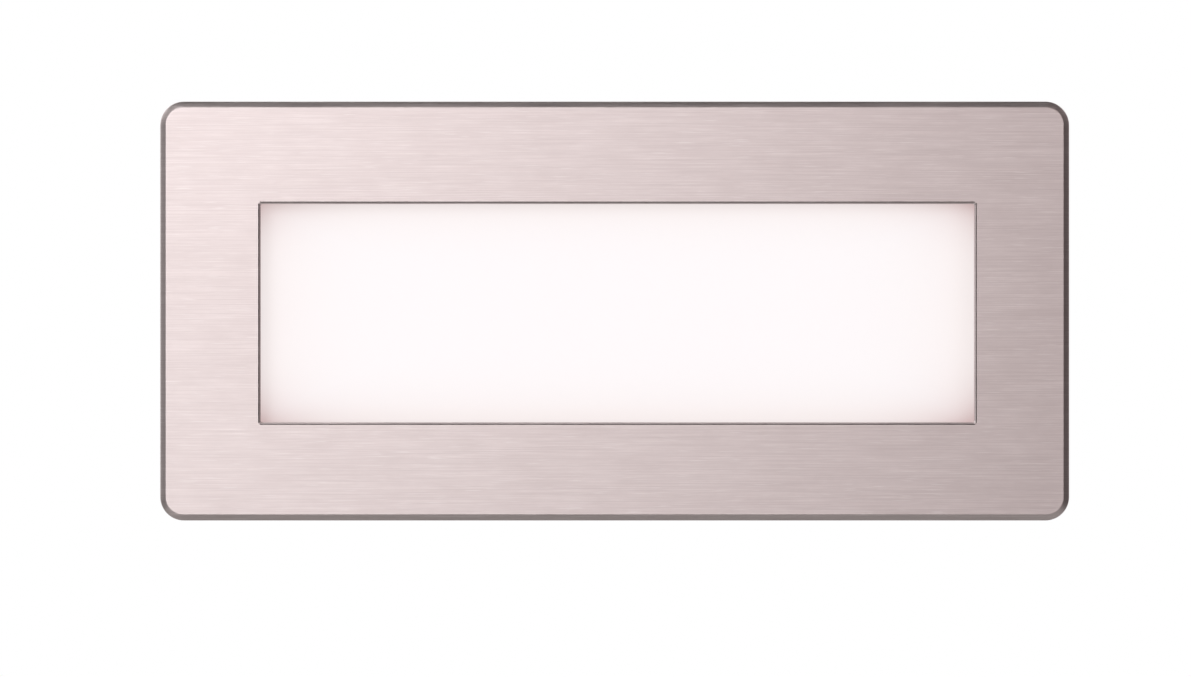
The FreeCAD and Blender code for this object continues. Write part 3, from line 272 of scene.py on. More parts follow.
# %% [markdown]
# A pattern is a chain of nodes, and the next helpers add one link each: any node, the place on the piece,
# noise with a grain of a given size, and a step of arithmetic.


# %% Nodes and patterns
def add_node(finish, kind, inputs=None, **settings):
    """A node with its settings; inputs are numbers or the sockets of other nodes."""
    node = finish.node_tree.nodes.new(kind)
    for name, value in settings.items():
        setattr(node, name, value)
    for name, value in (inputs or {}).items():
        if isinstance(value, bpy.types.NodeSocket):
            finish.node_tree.links.new(value, node.inputs[name])
        else:
            node.inputs[name].default_value = value
    return node


def places(finish, grain):
    """The piece's own coordinates, divided by the size of the grain along each axis."""
    own = add_node(finish, "ShaderNodeTexCoord").outputs["Object"]
    scale = tuple(1 / size for size in grain)
    return add_node(finish, "ShaderNodeMapping", {"Vector": own, "Scale": scale}).outputs["Vector"]


def noise(finish, grain, detail, roughness=0.5):
    """Soft noise whose grain has this size along X, Y and Z."""
    inputs = {"Vector": places(finish, grain), "Scale": 1.0, "Detail": detail, "Roughness": roughness}
    return add_node(finish, "ShaderNodeTexNoise", inputs).outputs["Fac"]


def work_out(finish, operation, first, second=0.5):
    """One step of arithmetic on two values, or on the first alone."""
    return add_node(finish, "ShaderNodeMath", {0: first, 1: second}, operation=operation).outputs[0]


# %% [markdown]
# A pattern runs from 0 to 1 and says nothing by itself. It is mapped onto a range, used to mix two colours,
# linked to a socket of the shader, or raised into bumps. These four steps end every finish.


# %% Map, mix, drive and raise
def spread(finish, value, low, high, start=0.3, end=0.7):
    """Maps the middle stretch of a pattern onto a range."""
    inputs = {"Value": value, "From Min": start, "From Max": end, "To Min": low, "To Max": high}
    return add_node(finish, "ShaderNodeMapRange", inputs).outputs["Result"]


def mix_paint(finish, share, first, second, how="MIX"):
    """Mixes two colours."""
    node = add_node(finish, "ShaderNodeMix", data_type="RGBA", blend_type=how)
    for name, value in (("Factor", share), ("A", first), ("B", second)):
        socket = [s for s in node.inputs if s.name == name and (s.type == "RGBA") == (name != "Factor")][0]
        if isinstance(value, bpy.types.NodeSocket):
            finish.node_tree.links.new(value, socket)
        else:
            socket.default_value = value
    return [s for s in node.outputs if s.type == "RGBA"][0]


def drive(finish, socket, value):
    """Lets a pattern drive a socket of the shader."""
    finish.node_tree.links.new(value, shader_of(finish).inputs[socket])


def raise_bumps(finish, height, depth):
    """Turns a pattern into bumps of this depth."""
    inputs = {"Height": height, "Distance": depth, "Strength": 1.0}
    return add_node(finish, "ShaderNodeBump", inputs).outputs["Normal"]


# %% [markdown]
# Most small parts share one recipe: two close colours, a roughness that wanders, and bumps of one grain.
# It is written once, and each material below gives it its own colours and its own sizes in millimetres.


# %% The recipe for plain parts
finishes = {}


def plain_finish(name, first, second, roughness, metallic, patch, grain, depth):
    """Two close colours in patches, a roughness range, and fine bumps, all sizes in millimetres."""
    finish = new_finish(name, paint(*first), sum(roughness) / 2, metallic)
    patches = noise(finish, (patch * mm,) * 3, detail=4)
    fine = noise(finish, (grain * mm,) * 3, detail=2)
    share = spread(finish, patches, 0, 1)
    drive(finish, "Base Color", mix_paint(finish, share, paint(*first), paint(*second)))
    drive(finish, "Roughness", spread(finish, fine, *roughness))
    drive(finish, "Normal", raise_bumps(finish, fine, depth * mm))
    return finish


def make_finishes(recipes):
    """Makes the finish of each recipe and keeps it under its name."""
    for name, recipe in recipes.items():
        finishes[name] = plain_finish(name, *recipe)
    print("made", ", ".join(recipes))


# %% [markdown]
# ### Brushed steel
#
# The plate is stainless steel, brushed along its length with fine abrasive and slightly warm in colour.
# Brushing leaves long shallow scratches. Seen from in front they show as hair-thin lighter and darker
# lines, and they spread a reflection up and down but hardly sideways. The lines are noise stretched
# along X. The sideways-tight, upright-wide reflection is the shader's own anisotropy, steered by a map
# that is laid on the plate when it is made.

# %% Colour the brushed steel
steel_light = paint(246, 235, 234)
steel_dark = paint(222, 209, 208)
scratch_bright = paint(252, 244, 243)
brushed_steel = new_finish("brushed_steel", steel_light, 0.38, 1.0, Anisotropic=0.72)
long_lines = noise(brushed_steel, (30 * mm, 9 * mm, 0.3 * mm), detail=3, roughness=0.6)
patches = noise(brushed_steel, (13 * mm, 9 * mm, 3.6 * mm), detail=4, roughness=0.65)
lined = mix_paint(brushed_steel, spread(brushed_steel, long_lines, 0, 1), steel_dark, steel_light)
clouded = mix_paint(brushed_steel, spread(brushed_steel, patches, 0, 0.65), lined, steel_dark)
scratches = noise(brushed_steel, (7 * mm, 4 * mm, 0.26 * mm), detail=1)
scratch_share = spread(brushed_steel, scratches, 0, 0.5, start=0.62, end=0.76)
scratched = mix_paint(brushed_steel, scratch_share, clouded, scratch_bright)
drive(brushed_steel, "Base Color", scratched)
for shade in (steel_dark, steel_light):
    print("the steel gives back", [round(share, 2) for share in shade[:3]], "of red, green and blue light")

# %% [markdown]
# The same lines also vary the roughness and stand up as bumps five thousandths of a millimetre deep. The
# tangent turns the anisotropy along the map of the brushing.

# %% Roughen the steel along its lines
drive(brushed_steel, "Roughness", spread(brushed_steel, long_lines, 0.35, 0.43))
drive(brushed_steel, "Normal", raise_bumps(brushed_steel, long_lines, 0.005 * mm))
tangent = add_node(brushed_steel, "ShaderNodeTangent", direction_type="UV_MAP", uv_map="brushing")
drive(brushed_steel, "Tangent", tangent.outputs["Tangent"])
finishes["brushed_steel"] = brushed_steel
print("made", brushed_steel.name)

# %% [markdown]
# ### Frosted glass, with the light from behind painted on as a glow
#
# The pane is sandblasted, so the light sources behind it can't be seen one by one. Its glow is painted
# light:
# the glass gives it off itself, and the light sources behind it don't shine. It glows evenly in the middle
# and falls off a little towards the edges and more into the corners, where the light has further to go. The
# glow is
# worked out from the place on the pane: the further towards an edge, the dimmer and the warmer.

# %% Find how far a place on the pane is from the middle
pane_low, pane_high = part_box("diffuser_glass")
window_half_width = 90.2 * mm
window_half_height = 27.6 * mm
# The glass's own colour is a dim grey, so that with the painted glow on top the pane stays just below
# white.
glass_colour_under_glow = paint(150, 146, 147)
frosted_glass = new_finish("frosted_glass", glass_colour_under_glow, 0.55, Specular_IOR_Level=0.35)
pane_place = add_node(frosted_glass, "ShaderNodeTexCoord").outputs["Object"]
pane_parts = add_node(frosted_glass, "ShaderNodeSeparateXYZ", {"Vector": pane_place}).outputs


def fall_off(place, half, power):
    """How far a place is towards the edge, from 0 in the middle to 1, kept low for most of the way."""
    share = work_out(frosted_glass, "DIVIDE", place, half)
    return work_out(frosted_glass, "POWER", work_out(frosted_glass, "ABSOLUTE", share), power)


sideways = fall_off(pane_parts["X"], window_half_width, power=7.0)
upright = fall_off(pane_parts["Z"], window_half_height, power=4.0)
print("the pane is", [round(side / mm, 1) for side in pane_high - pane_low], "mm")

# %% [markdown]
# The larger of the two distances says how near an edge is, and their product how near a corner is. They mix
# the colours of the painted glow. A fine bump on top is the sandblasting itself, and breaks up what the
# glass mirrors.

# %% Make the frosted glass glow
# The painted glow: the pane gives off light of its own, dimmer and warmer towards its edges and corners.
glow_middle = paint(254, 250, 251)
glow_edge = paint(251, 242, 240)
glow_corner = paint(214, 186, 184)
glow_level = 0.71
to_edge = work_out(frosted_glass, "MAXIMUM", sideways, upright)
to_corner = work_out(frosted_glass, "MULTIPLY", sideways, upright)
edge_share = spread(frosted_glass, to_edge, 0, 1, start=0.0, end=0.8)
corner_share = spread(frosted_glass, to_corner, 0, 1, start=0.0, end=1.0)
glow = mix_paint(frosted_glass, edge_share, glow_middle, glow_edge)
dimmed_glow = mix_paint(frosted_glass, corner_share, glow, glow_corner)
drive(frosted_glass, "Emission Color", dimmed_glow)
shader_of(frosted_glass).inputs["Emission Strength"].default_value = glow_level
frost = noise(frosted_glass, (0.12 * mm,) * 3, detail=2)
drive(frosted_glass, "Normal", raise_bumps(frosted_glass, frost, 0.004 * mm))
finishes["frosted_glass"] = frosted_glass
print("made", frosted_glass.name)

# %% [markdown]
# ### The box, the casting and the small parts
#
# Black mouldings have a fine spark-worn texture. The lamp body is cast aluminium, satin with tiny pits.
# Pressed parts are zinc-plated steel with a faint blue and yellow tint, and the springs are drawn wire.
# Each line gives the two colours, the roughness, how metallic it is, and then the size of the patches,
# the size of the grain and the depth of the bumps.

# %% Make the finishes of the mouldings and the casting
make_finishes({
    "box_plastic": ((43, 43, 46), (48, 48, 51), (0.48, 0.6), 0, 5, 0.22, 0.03),
    "gland_plastic": ((58, 59, 62), (66, 67, 70), (0.36, 0.46), 0, 6, 0.16, 0.01),
    "soft_seal": ((44, 44, 45), (54, 54, 55), (0.66, 0.8), 0, 4, 0.3, 0.02),
    "driver_plastic": ((226, 226, 223), (232, 232, 230), (0.4, 0.5), 0, 10, 0.2, 0.01),
    "cast_aluminium": ((176, 178, 181), (196, 198, 200), (0.34, 0.5), 1.0, 9, 0.45, 0.035),
})

# %% [markdown]
# Inside, the colours tell the parts apart as they do in any lamp: brass clamps, a green board with a yellow
# winding, red leads, and a white board with yellow light sources.

# %% Make the finishes of metal and of electrical parts
make_finishes({
    "zinc_steel": ((196, 200, 208), (210, 207, 196), (0.24, 0.4), 1.0, 5, 0.5, 0.006),
    "spring_steel": ((168, 170, 175), (186, 186, 186), (0.2, 0.34), 1.0, 3, 0.15, 0.004),
    "brass": ((205, 168, 96), (218, 184, 112), (0.22, 0.36), 1.0, 3, 0.3, 0.005),
    "white_reflector": ((240, 240, 238), (246, 246, 245), (0.5, 0.62), 0, 12, 0.4, 0.01),
    "white_board": ((232, 233, 231), (238, 239, 238), (0.3, 0.42), 0, 7, 0.5, 0.01),
    "light_source": ((248, 214, 108), (251, 224, 130), (0.3, 0.4), 0, 1, 0.2, 0.01),
    "board_green": ((30, 104, 62), (38, 120, 72), (0.28, 0.4), 0, 5, 0.6, 0.02),
    "winding": ((196, 160, 66), (208, 174, 84), (0.4, 0.52), 0, 2, 0.5, 0.03),
    "capacitor_sleeve": ((34, 36, 46), (42, 44, 56), (0.22, 0.32), 0, 3, 0.3, 0.005),
    "lead_sleeve": ((178, 34, 30), (190, 44, 38), (0.34, 0.44), 0, 2, 0.2, 0.005),
})

# %% [markdown]
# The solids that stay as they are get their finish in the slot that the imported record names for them.

# %% Give every solid its finish
slot_of = {row["node"]: row["material_slot"] for row in frame["record"]["subparts"]}
for node, solid in nodes.items():
    for place in solid.material_slots:
        place.material = finishes[slot_of[node]]
print("finished", len(slot_of), "solids")

# %% [markdown]
# ## The faceplate
#
# The plate is one sheet, 1.2 mm thick, folded back 9 mm on all four sides. The fold has an outer radius of
# 1.6 mm, and the corners of the plate are drawn round. Its window has a bevel that is milled all round.
# It starts as a block. The upright edges are rounded first, then the front edge, so the fold runs round
# the corners as it does in pressed sheet. The back is opened, the window is marked out by four straight
# cuts and removed, and only then does the skin get its thickness.

# %% Shape the outside of the plate
plate_low, plate_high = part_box("fascia")
corner_radius = 6 * mm
fold_radius = 1.6 * mm
fold_fullness = 0.3
sheet = 1.2 * mm
plate = add_block("faceplate", plate_low, plate_high)
front, back = plate_low.y, plate_high.y
edit(plate)
select(plate, "EDGE", lambda edge: runs_along(edge, Y))
bpy.ops.mesh.bevel(offset=corner_radius, segments=14, profile=0.5, affect="EDGES")
select(plate, "EDGE", lambda edge: lies_at(edge, Y, front))
bpy.ops.mesh.bevel(offset=fold_radius, segments=8, profile=fold_fullness, affect="EDGES")
select(plate, "FACE", lambda face: lies_at(face, Y, back))
bpy.ops.mesh.delete(type="FACE")
print("the skin has", len(bmesh.from_edit_mesh(plate.data).faces), "faces")

# %% [markdown]
# The window isn't quite in the middle of the plate: it lies 0.7 mm to the right and 0.55 mm low. Each cut
# runs right across the flat front, so the corners of the window are where the cuts cross.


# %% Cut the window
def cut_front(point, normal):
    """Cuts the flat front of the plate along a plane."""
    select(plate, "FACE", lambda face: lies_at(face, Y, front))
    bpy.ops.mesh.bisect(plane_co=point, plane_no=normal, clear_inner=False, clear_outer=False)


window_middle = Vector((0.7 * mm, front, -0.55 * mm))
for side in (-1, 1):
    cut_front(window_middle + Vector((side * window_half_width, 0, 0)), (1, 0, 0))
    cut_front(window_middle + Vector((0, 0, side * window_half_height)), (0, 0, 1))


def from_window(part):
    """How far a part's middle is from the middle of the window, sideways and upright."""
    middle = sum((corner.co for corner in part.verts), Vector()) / len(part.verts)
    return abs(middle.x - window_middle.x), abs(middle.z - window_middle.z)


def in_window(part, slack=0.0):
    """Whether a part lies within the window."""
    sideways_offset, upright_offset = from_window(part)
    return sideways_offset < window_half_width + slack and upright_offset < window_half_height + slack


select(plate, "FACE", lambda face: lies_at(face, Y, front) and in_window(face))
bpy.ops.mesh.delete(type="FACE")
bpy.ops.object.mode_set(mode="OBJECT")
apply_modifier(plate, "SOLIDIFY", thickness=sheet, offset=-1, use_even_offset=True)
print("the plate has", len(plate.data.polygons), "faces with its thickness")

# %% [markdown]
# The bevel of the window is a shallow flat, 0.6 mm wide and 0.35 mm deep, and the polishing has broken its
# two rims. It is made as a bevel of equal sides, and its inner rim is then moved forward. So it mirrors
# the room to the side of the camera, and draws a dark line round the lit pane.


# %% Bevel the window
window_corner_radius = 0.4 * mm
window_bevel = 0.6 * mm
moved_forward = 0.42 * window_bevel
polished_edge = 0.06 * mm


def window_corner(edge):
    """Whether an edge runs through the sheet at a corner of the window."""
    sideways_offset, upright_offset = from_window(edge)
    through = not near(edge.verts[0].co.y, edge.verts[1].co.y)
    return through and near(sideways_offset, window_half_width) and near(upright_offset, window_half_height)


def on_rim(edge, depth):
    """Whether an edge lies on a rim of the window, this deep behind the front."""
    return in_window(edge, slack=0.05 * mm) and lies_at(edge, Y, front + depth)


edit(plate)
select(plate, "EDGE", window_corner)
bpy.ops.mesh.bevel(offset=window_corner_radius, segments=4, affect="EDGES")
print("rim edges:", select(plate, "EDGE", lambda edge: on_rim(edge, 0)))
bpy.ops.mesh.bevel(offset=window_bevel, segments=1, affect="EDGES")
select(plate, "EDGE", lambda edge: on_rim(edge, window_bevel))
bpy.ops.transform.translate(value=(0, -moved_forward, 0))
bpy.ops.object.mode_set(mode="OBJECT")
apply_modifier(
    plate, "BEVEL", width=polished_edge, segments=2, limit_method="ANGLE", angle_limit=math.radians(30)
)

# %% [markdown]
# The anisotropy of the steel needs to know which way the brush went. A map on the plate tells it: the first
# direction of the map runs up the plate, across the brush lines. The second runs along the plate, with a
# little of the depth in it, so that it has a direction on the folded ends too.

# %% Lay the brushing map
a_little = 0.001
brushing_map = plate.data.uv_layers.new(name="brushing")
for corner in plate.data.loops:
    place = plate.data.vertices[corner.vertex_index].co
    brushing_map.data[corner.index].uv = (place.z, place.x + place.y * a_little)
print("the map has", len(brushing_map.data), "corners")
complete(plate, "fascia", "brushed_steel", "fascia")

# %% [markdown]
# ## The pane
#
# The glass is 4 mm thick with round corners and ground edges. Only its face shows, 3.7 mm behind the
# front of the plate, so that the window has depth. A block gets its corners rounded and its edges ground.

# %% Make the pane
pane_corner_radius = 3 * mm
ground_edge = 0.5 * mm
pane = add_block("glass_pane", pane_low, pane_high)
edit(pane)
select(pane, "EDGE", lambda edge: runs_along(edge, Y))
bpy.ops.mesh.bevel(offset=pane_corner_radius, segments=8, affect="EDGES")
select(pane, "EDGE", lambda edge: lies_at(edge, Y, pane_low.y) or lies_at(edge, Y, pane_high.y))
bpy.ops.mesh.bevel(offset=ground_edge, segments=3, profile=0.6, affect="EDGES")
complete(pane, "lamp", "frosted_glass", "diffuser_glass")

# %% [markdown]
# ## Castings, mouldings and pressed parts
#
# The box in the wall, the lamp casting, the brackets, the arms and the clips have their true form in the
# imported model. What they lack is the small round that a mould, a die or a press leaves on each edge. So
# each gets a softened copy: 0.3 mm on castings and mouldings, and about a tenth of a millimetre on sheet.
# Modelling them anew would only repeat the sizes that the model holds already.

# %% Soften the castings, the mouldings and the sheet parts
body_rows = frame["record"]["behaviour"]["bodies"].items()
body_of = {solid: body for body, solids in body_rows for solid in solids}
soft_copies = [
    ("wall_box", "recess_box", 0.3),
    ("lamp_casting", "lamp_housing", 0.3),
    ("rim_seal", "flange_gasket", 0.15),
    ("pane_seal", "glass_gasket", 0.2),
    ("pane_frame", "clamp_frame", 0.1),
    ("light_tray", "reflector", 0.15),
    ("chip_board", "led_board", 0.08),
    ("carrier_tray", "gear_tray", 0.1),
    ("driver_shell", "driver_case", 0.1),
    ("driver_cover", "driver_lid", 0.25),
    ("terminal_moulding", "terminal_block", 0.2),
    ("earth_tongue", "earth_lug", 0.1),
    ("gland_sleeve", "gland_seal", 0.2),
    ("gland_stem", "gland_body", 0.2),
    ("gland_ring", "gland_locknut", 0.2),
    ("leaf_clips", "fascia_clips", 0.05),
    ("left_hinge_bracket", "left_bracket", 0.12),
    ("right_hinge_bracket", "right_bracket", 0.12),
    ("left_hinge_pin", "left_pin", 0.15),
    ("right_hinge_pin", "right_pin", 0.15),
    ("left_sprung_arm", "left_arm", 0.12),
    ("right_sprung_arm", "right_arm", 0.12),
]
for name, solid, round_width in soft_copies:
    copy = soften(solid, name, round_width * mm)
    complete(copy, body_of[solid], slot_of[solid], solid)

# %% [markdown]
# ## Turned and stamped parts
#
# Screws, rivets and the nut are made of a few rods and blocks. Three habits of the workshop are enough for
# all of them: join or cut with a second piece, round the rim of a rod, and break the sharp edges.


# %% Join, cut, round and break
def combine(piece, tool, how):
    """Joins a piece with a tool or cuts it by the tool, and deletes the tool."""
    apply_modifier(piece, "BOOLEAN", operation=how, object=tool, solver="EXACT")
    bpy.data.objects.remove(tool)


def round_rim(piece, axis, place, width, segments):
    """Rounds the rim of a rod where it ends at this place of an axis."""
    edit(piece)
    select(piece, "EDGE", lambda edge: lies_at(edge, axis, place))
    bpy.ops.mesh.bevel(offset=width, segments=segments, affect="EDGES")
    bpy.ops.object.mode_set(mode="OBJECT")


def break_edges(piece, width):
    """Breaks every sharp edge of a piece by a narrow round."""
    sharp = math.radians(40)
    apply_modifier(piece, "BEVEL", width=width, segments=2, limit_method="ANGLE", angle_limit=sharp)


# %% [markdown]
# ### Screws
#
# Six slotted screws hold the frame that clamps the pane, four hold the board of light sources and four the
# tray. They differ only in length, so one function makes them all: a rod for the head, its top rim rounded
# into a low dome, a rod for the shank joined to it, and a block that cuts the slot right across.


# %% Make one slotted screw
head_radius = 2.6 * mm
head_high = 1.2 * mm
head_dome = 0.45 * head_high
shank_in_head = head_high / 4
shank_radius = 1.5 * mm
shank_tip = 0.3 * mm
slot_wide = 0.6 * mm
slot_deep = 0.6 * mm
print(f"heads are {2 * head_radius / mm:.1f} mm wide, and shanks {2 * shank_radius / mm:.1f} mm")


def make_screw(name, under_head, end):
    """A slotted screw on the Y axis, given where its head ends below and where its shank ends."""
    top = under_head - head_high
    screw = add_rod(name, head_radius, (0, top, 0), (0, under_head, 0), sides=40)
    round_rim(screw, Y, top, head_dome, segments=4)
    shank = add_rod("shank", shank_radius, (0, under_head - shank_in_head, 0), (0, end, 0), sides=24)
    round_rim(shank, Y, end, shank_tip, segments=2)
    combine(screw, shank, "UNION")
    beyond, half = 1.2 * head_radius, slot_wide / 2
    slot = add_block("slot", (-beyond, top - mm, -half), (beyond, top + slot_deep, half))
    combine(screw, slot, "DIFFERENCE")
    break_edges(screw, width=0.05 * mm)
    return screw


# %% [markdown]
# Each place gets a copy with a mesh of its own. The places are read from the box round each packed group:
# the middles of the outer heads lie one radius inside it, and the others are spaced evenly between them.


# %% Copy a piece to its places
def spread_copies(master, places):
    """A copy of a piece at each place in X and Z, each with its own mesh; the master goes."""
    copies = []
    for number, (x, z) in enumerate(places, start=1):
        copy = bpy.data.objects.new(f"{master.name}_{number}", master.data.copy())
        copy.data.transform(Matrix.Translation((x, 0, z)))
        bpy.context.scene.collection.objects.link(copy)
        copies.append(copy)
    bpy.data.objects.remove(master)
    return copies


def places_of(group, columns, radius):
    """Places in two rows and some columns, from the box round a group of round heads."""
    low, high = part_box(group)
    left, right = low.x + radius, high.x - radius
    rows = (low.z + radius, high.z - radius)
    step = (right - left) / (columns - 1)
    return [(left + step * column, z) for column in range(columns) for z in rows]


# %% [markdown]
# The frame has three columns of screws, the board and the tray have two each. The screw of each group is
# made once, in the length that the box of its group has.

# %% Place the screws
screw_groups = (
    ("clamp_screws", "frame_screw", 3),
    ("led_board_screws", "board_screw", 2),
    ("gear_tray_screws", "tray_screw", 2),
)
for group, name, columns in screw_groups:
    group_low, group_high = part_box(group)
    screw = make_screw(name, group_low.y + head_high, group_high.y)
    for copy in spread_copies(screw, places_of(group, columns, head_radius)):
        complete(copy, body_of[group], "zinc_steel", group)

# %% [markdown]
# ### Rivets
#
# The clips and the hinge brackets are riveted. A rivet has a domed head at one end, and at the other its
# shank is closed to a flat head or ends in the metal. The dome is a short rod, and its rim is rounded over
# nine tenths of its height.


# %% Make one rivet
dome_rounding = 0.9
foot_rounding = 0.7


def make_rivet(name, dome_radius, rivet_radius, dome_top, dome_under, end, closed=0.0):
    """A rivet along Y with its dome at one end and, if closed, a flat head at the other."""
    rivet = add_rod(name, dome_radius, (0, dome_top, 0), (0, dome_under, 0), sides=32)
    round_rim(rivet, Y, dome_top, abs(dome_under - dome_top) * dome_rounding, segments=5)
    shank_start, shank_end = (dome_top + dome_under) / 2, end - closed / 2
    shank = add_rod("shank", rivet_radius, (0, shank_start, 0), (0, shank_end, 0), sides=20)
    combine(rivet, shank, "UNION")
    if closed:
        foot = add_rod("foot", dome_radius, (0, end - closed, 0), (0, end, 0), sides=32)
        round_rim(foot, Y, end, closed * foot_rounding, segments=3)
        combine(rivet, foot, "UNION")
    break_edges(rivet, width=0.03 * mm)
    return rivet


# %% [markdown]
# The clips are held by small rivets with a low dome in front, closed behind to a thin flat head. They are
# zinc-plated like the pressed parts.

# %% Rivet the clips
clip_dome = 1.4 * mm
clip_rivet_low, clip_rivet_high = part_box("clip_rivets")
clip_rivet = make_rivet(
    "clip_rivet", clip_dome, rivet_radius=0.8 * mm, dome_top=clip_rivet_low.y,
    dome_under=clip_rivet_low.y + 0.4 * mm, end=clip_rivet_high.y, closed=0.2 * mm,
)
for copy in spread_copies(clip_rivet, places_of("clip_rivets", 2, clip_dome)):
    complete(copy, "lamp", "zinc_steel", "clip_rivets")

# %% [markdown]
# The rivets of the hinge brackets are larger and of aluminium. They are set from behind into the casting,
# so their dome is at the back and their shank ends in the metal.

# %% Rivet the hinge brackets
bracket_dome = 2.2 * mm
bracket_rivet_low, bracket_rivet_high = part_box("bracket_rivets")
bracket_rivet = make_rivet(
    "bracket_rivet", bracket_dome, rivet_radius=1.2 * mm, dome_top=bracket_rivet_high.y,
    dome_under=bracket_rivet_high.y - 0.9 * mm, end=bracket_rivet_low.y,
)
for copy in spread_copies(bracket_rivet, places_of("bracket_rivets", 2, bracket_dome)):
    complete(copy, "lamp", "cast_aluminium", "bracket_rivets")

# %% [markdown]
# ### The nut of the cable gland
#
# The nut has a hexagon for the spanner and a domed end that narrows to the cable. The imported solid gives
# its length and the width across its flats. A rod of six sides is made by the width across its corners,
# which is the width across the flats divided by the cosine of 30 degrees.

# %% Measure the gland nut
nut_low, nut_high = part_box("gland_nut")
nut_axis = (nut_low + nut_high) / 2
across_flats = nut_high.y - nut_low.y
across_corners = across_flats / math.cos(math.radians(30))
hexagon_long = 6.6 * mm
dome_round = 2.75 * mm
thread_radius = 8.1 * mm
thread_long = 7.0 * mm
cable_radius = 5.5 * mm
print(f"the nut is {across_flats / mm:.1f} mm across its flats")

# %% [markdown]
# A rod with six sides makes the hexagon, and a round rod with a rounded rim makes the dome. They are
# joined, the thread side and the cable side are bored, and the sharp edges are broken by a narrow round.


# %% Make the gland nut
def rod_along_x(name, radius, start, end, sides):
    """A rod on the nut's own axis."""
    return add_rod(name, radius, (start, nut_axis.y, nut_axis.z), (end, nut_axis.y, nut_axis.z), sides)


nut = rod_along_x("cap_nut", across_corners / 2, nut_low.x, nut_low.x + hexagon_long, 6)
print("the hexagon is", [round(side / mm, 2) for side in nut.dimensions], "mm")
dome = rod_along_x("dome", across_flats / 2, nut_low.x + mm, nut_high.x, 64)
round_rim(dome, X, nut_high.x, dome_round, segments=7)
thread_bore = rod_along_x("thread_bore", thread_radius, nut_low.x - mm, nut_low.x + thread_long, 48)
cable_bore = rod_along_x("cable_bore", cable_radius, nut_low.x, nut_high.x + mm, 48)
combine(nut, dome, "UNION")
combine(nut, thread_bore, "DIFFERENCE")
combine(nut, cable_bore, "DIFFERENCE")
break_edges(nut, width=0.2 * mm)
complete(nut, "lamp", "gland_plastic", "gland_nut")

# %% [markdown]
# ## The stage
#
# The photograph was taken straight on against white. The camera stands a little over a metre away, and
# its view is as wide as the picture is at the plate. The plate isn't quite in the middle of the picture,
# so the camera moves instead of the part.

# %% Place the camera
picture_width = 1191
picture_height = 677
plate_left_px = 159.6
plate_right_px = 1069.8
plate_top_px = 101.0
plate_bottom_px = 521.0
size_of_pixel = (plate_high.x - plate_low.x) / (plate_right_px - plate_left_px)
aside = ((plate_left_px + plate_right_px) / 2 - picture_width / 2) * size_of_pixel
above = (picture_height / 2 - (plate_top_px + plate_bottom_px) / 2) * size_of_pixel
distance = 1.1
sensor_width_mm = 36
camera_data = bpy.data.cameras.new("camera")
camera = bpy.data.objects.new("camera", camera_data)
bpy.context.scene.collection.objects.link(camera)
camera_data.sensor_width = sensor_width_mm
camera_data.lens = sensor_width_mm * distance / (picture_width * size_of_pixel)
camera_data.clip_start = 0.05
camera.location = (-aside, front - distance, -above)
camera.rotation_euler = (math.radians(90), 0, 0)
bpy.context.scene.camera = camera
print(f"lens {camera_data.lens:.1f} mm, one pixel is {size_of_pixel / mm:.3f} mm")

# %% [markdown]
# The floor is a plain disc below the part. It belongs to the stage, so it isn't part of the model.

# %% Lay the floor
floor_height = -0.2
floor_radius = 0.42
bpy.ops.object.select_all(action="DESELECT")
bpy.ops.mesh.primitive_circle_add(
    vertices=96, radius=floor_radius, fill_type="NGON", location=(0, 0, floor_height)
)
floor = bpy.context.active_object
floor.name = "floor"
bpy.ops.object.transform_apply(location=True, rotation=True, scale=True)
floor.select_set(False)
print("the floor is", -floor_height, "m below the middle of the part")

# %% [markdown]
# The floor is pale as the camera sees it and greyer as metal mirrors it. Away from the part it turns into
# the white of the background for the camera, so it has no visible end and still holds the shadow.

# %% Paint the floor
floor_pale = paint(236, 235, 233)
floor_grey = paint(150, 148, 146)
fade_start = 0.16
fade_end = 0.4
floor_paint = new_finish("floor_paint", floor_pale, 0.8)
floor_rays = add_node(floor_paint, "ShaderNodeLightPath").outputs
floor_in_metal = mix_paint(floor_paint, floor_rays["Is Glossy Ray"], floor_pale, floor_grey)
drive(floor_paint, "Base Color", floor_in_metal)
floor_place = add_node(floor_paint, "ShaderNodeTexCoord").outputs["Object"]
flattened = add_node(
    floor_paint, "ShaderNodeVectorMath", {0: floor_place, 1: (1, 1, 0)}, operation="MULTIPLY"
).outputs["Vector"]
from_middle = add_node(floor_paint, "ShaderNodeVectorMath", {0: flattened}, operation="LENGTH")
away = spread(floor_paint, from_middle.outputs["Value"], 0, 1, start=fade_start, end=fade_end)
white_share = work_out(floor_paint, "MULTIPLY", away, floor_rays["Is Camera Ray"])
glow_white = add_node(floor_paint, "ShaderNodeEmission", {"Color": (1, 1, 1, 1), "Strength": 1.0})
floor_mix = add_node(
    floor_paint, "ShaderNodeMixShader",
    {"Fac": white_share, 1: shader_of(floor_paint).outputs["BSDF"], 2: glow_white.outputs[0]},
)
floor_out = floor_paint.node_tree.nodes["Material Output"]
floor_paint.node_tree.links.new(floor_mix.outputs[0], floor_out.inputs["Surface"])
floor.data.materials.append(floor_paint)
print("the floor turns white from", fade_start, "m to", fade_end, "m away")

# %% [markdown]
# Metal shows what stands round it, so the world is a room that is drawn by its light alone. The strength
# of the light is written as stops along a direction, and the ramps of three directions are multiplied.

# %% Grade the light along a direction
world = bpy.data.worlds.new("studio")
bpy.context.scene.world = world
world.use_nodes = True
world.node_tree.nodes.clear()
way = add_node(world, "ShaderNodeTexCoord").outputs["Generated"]
way_parts = add_node(world, "ShaderNodeSeparateXYZ", {"Vector": way}).outputs


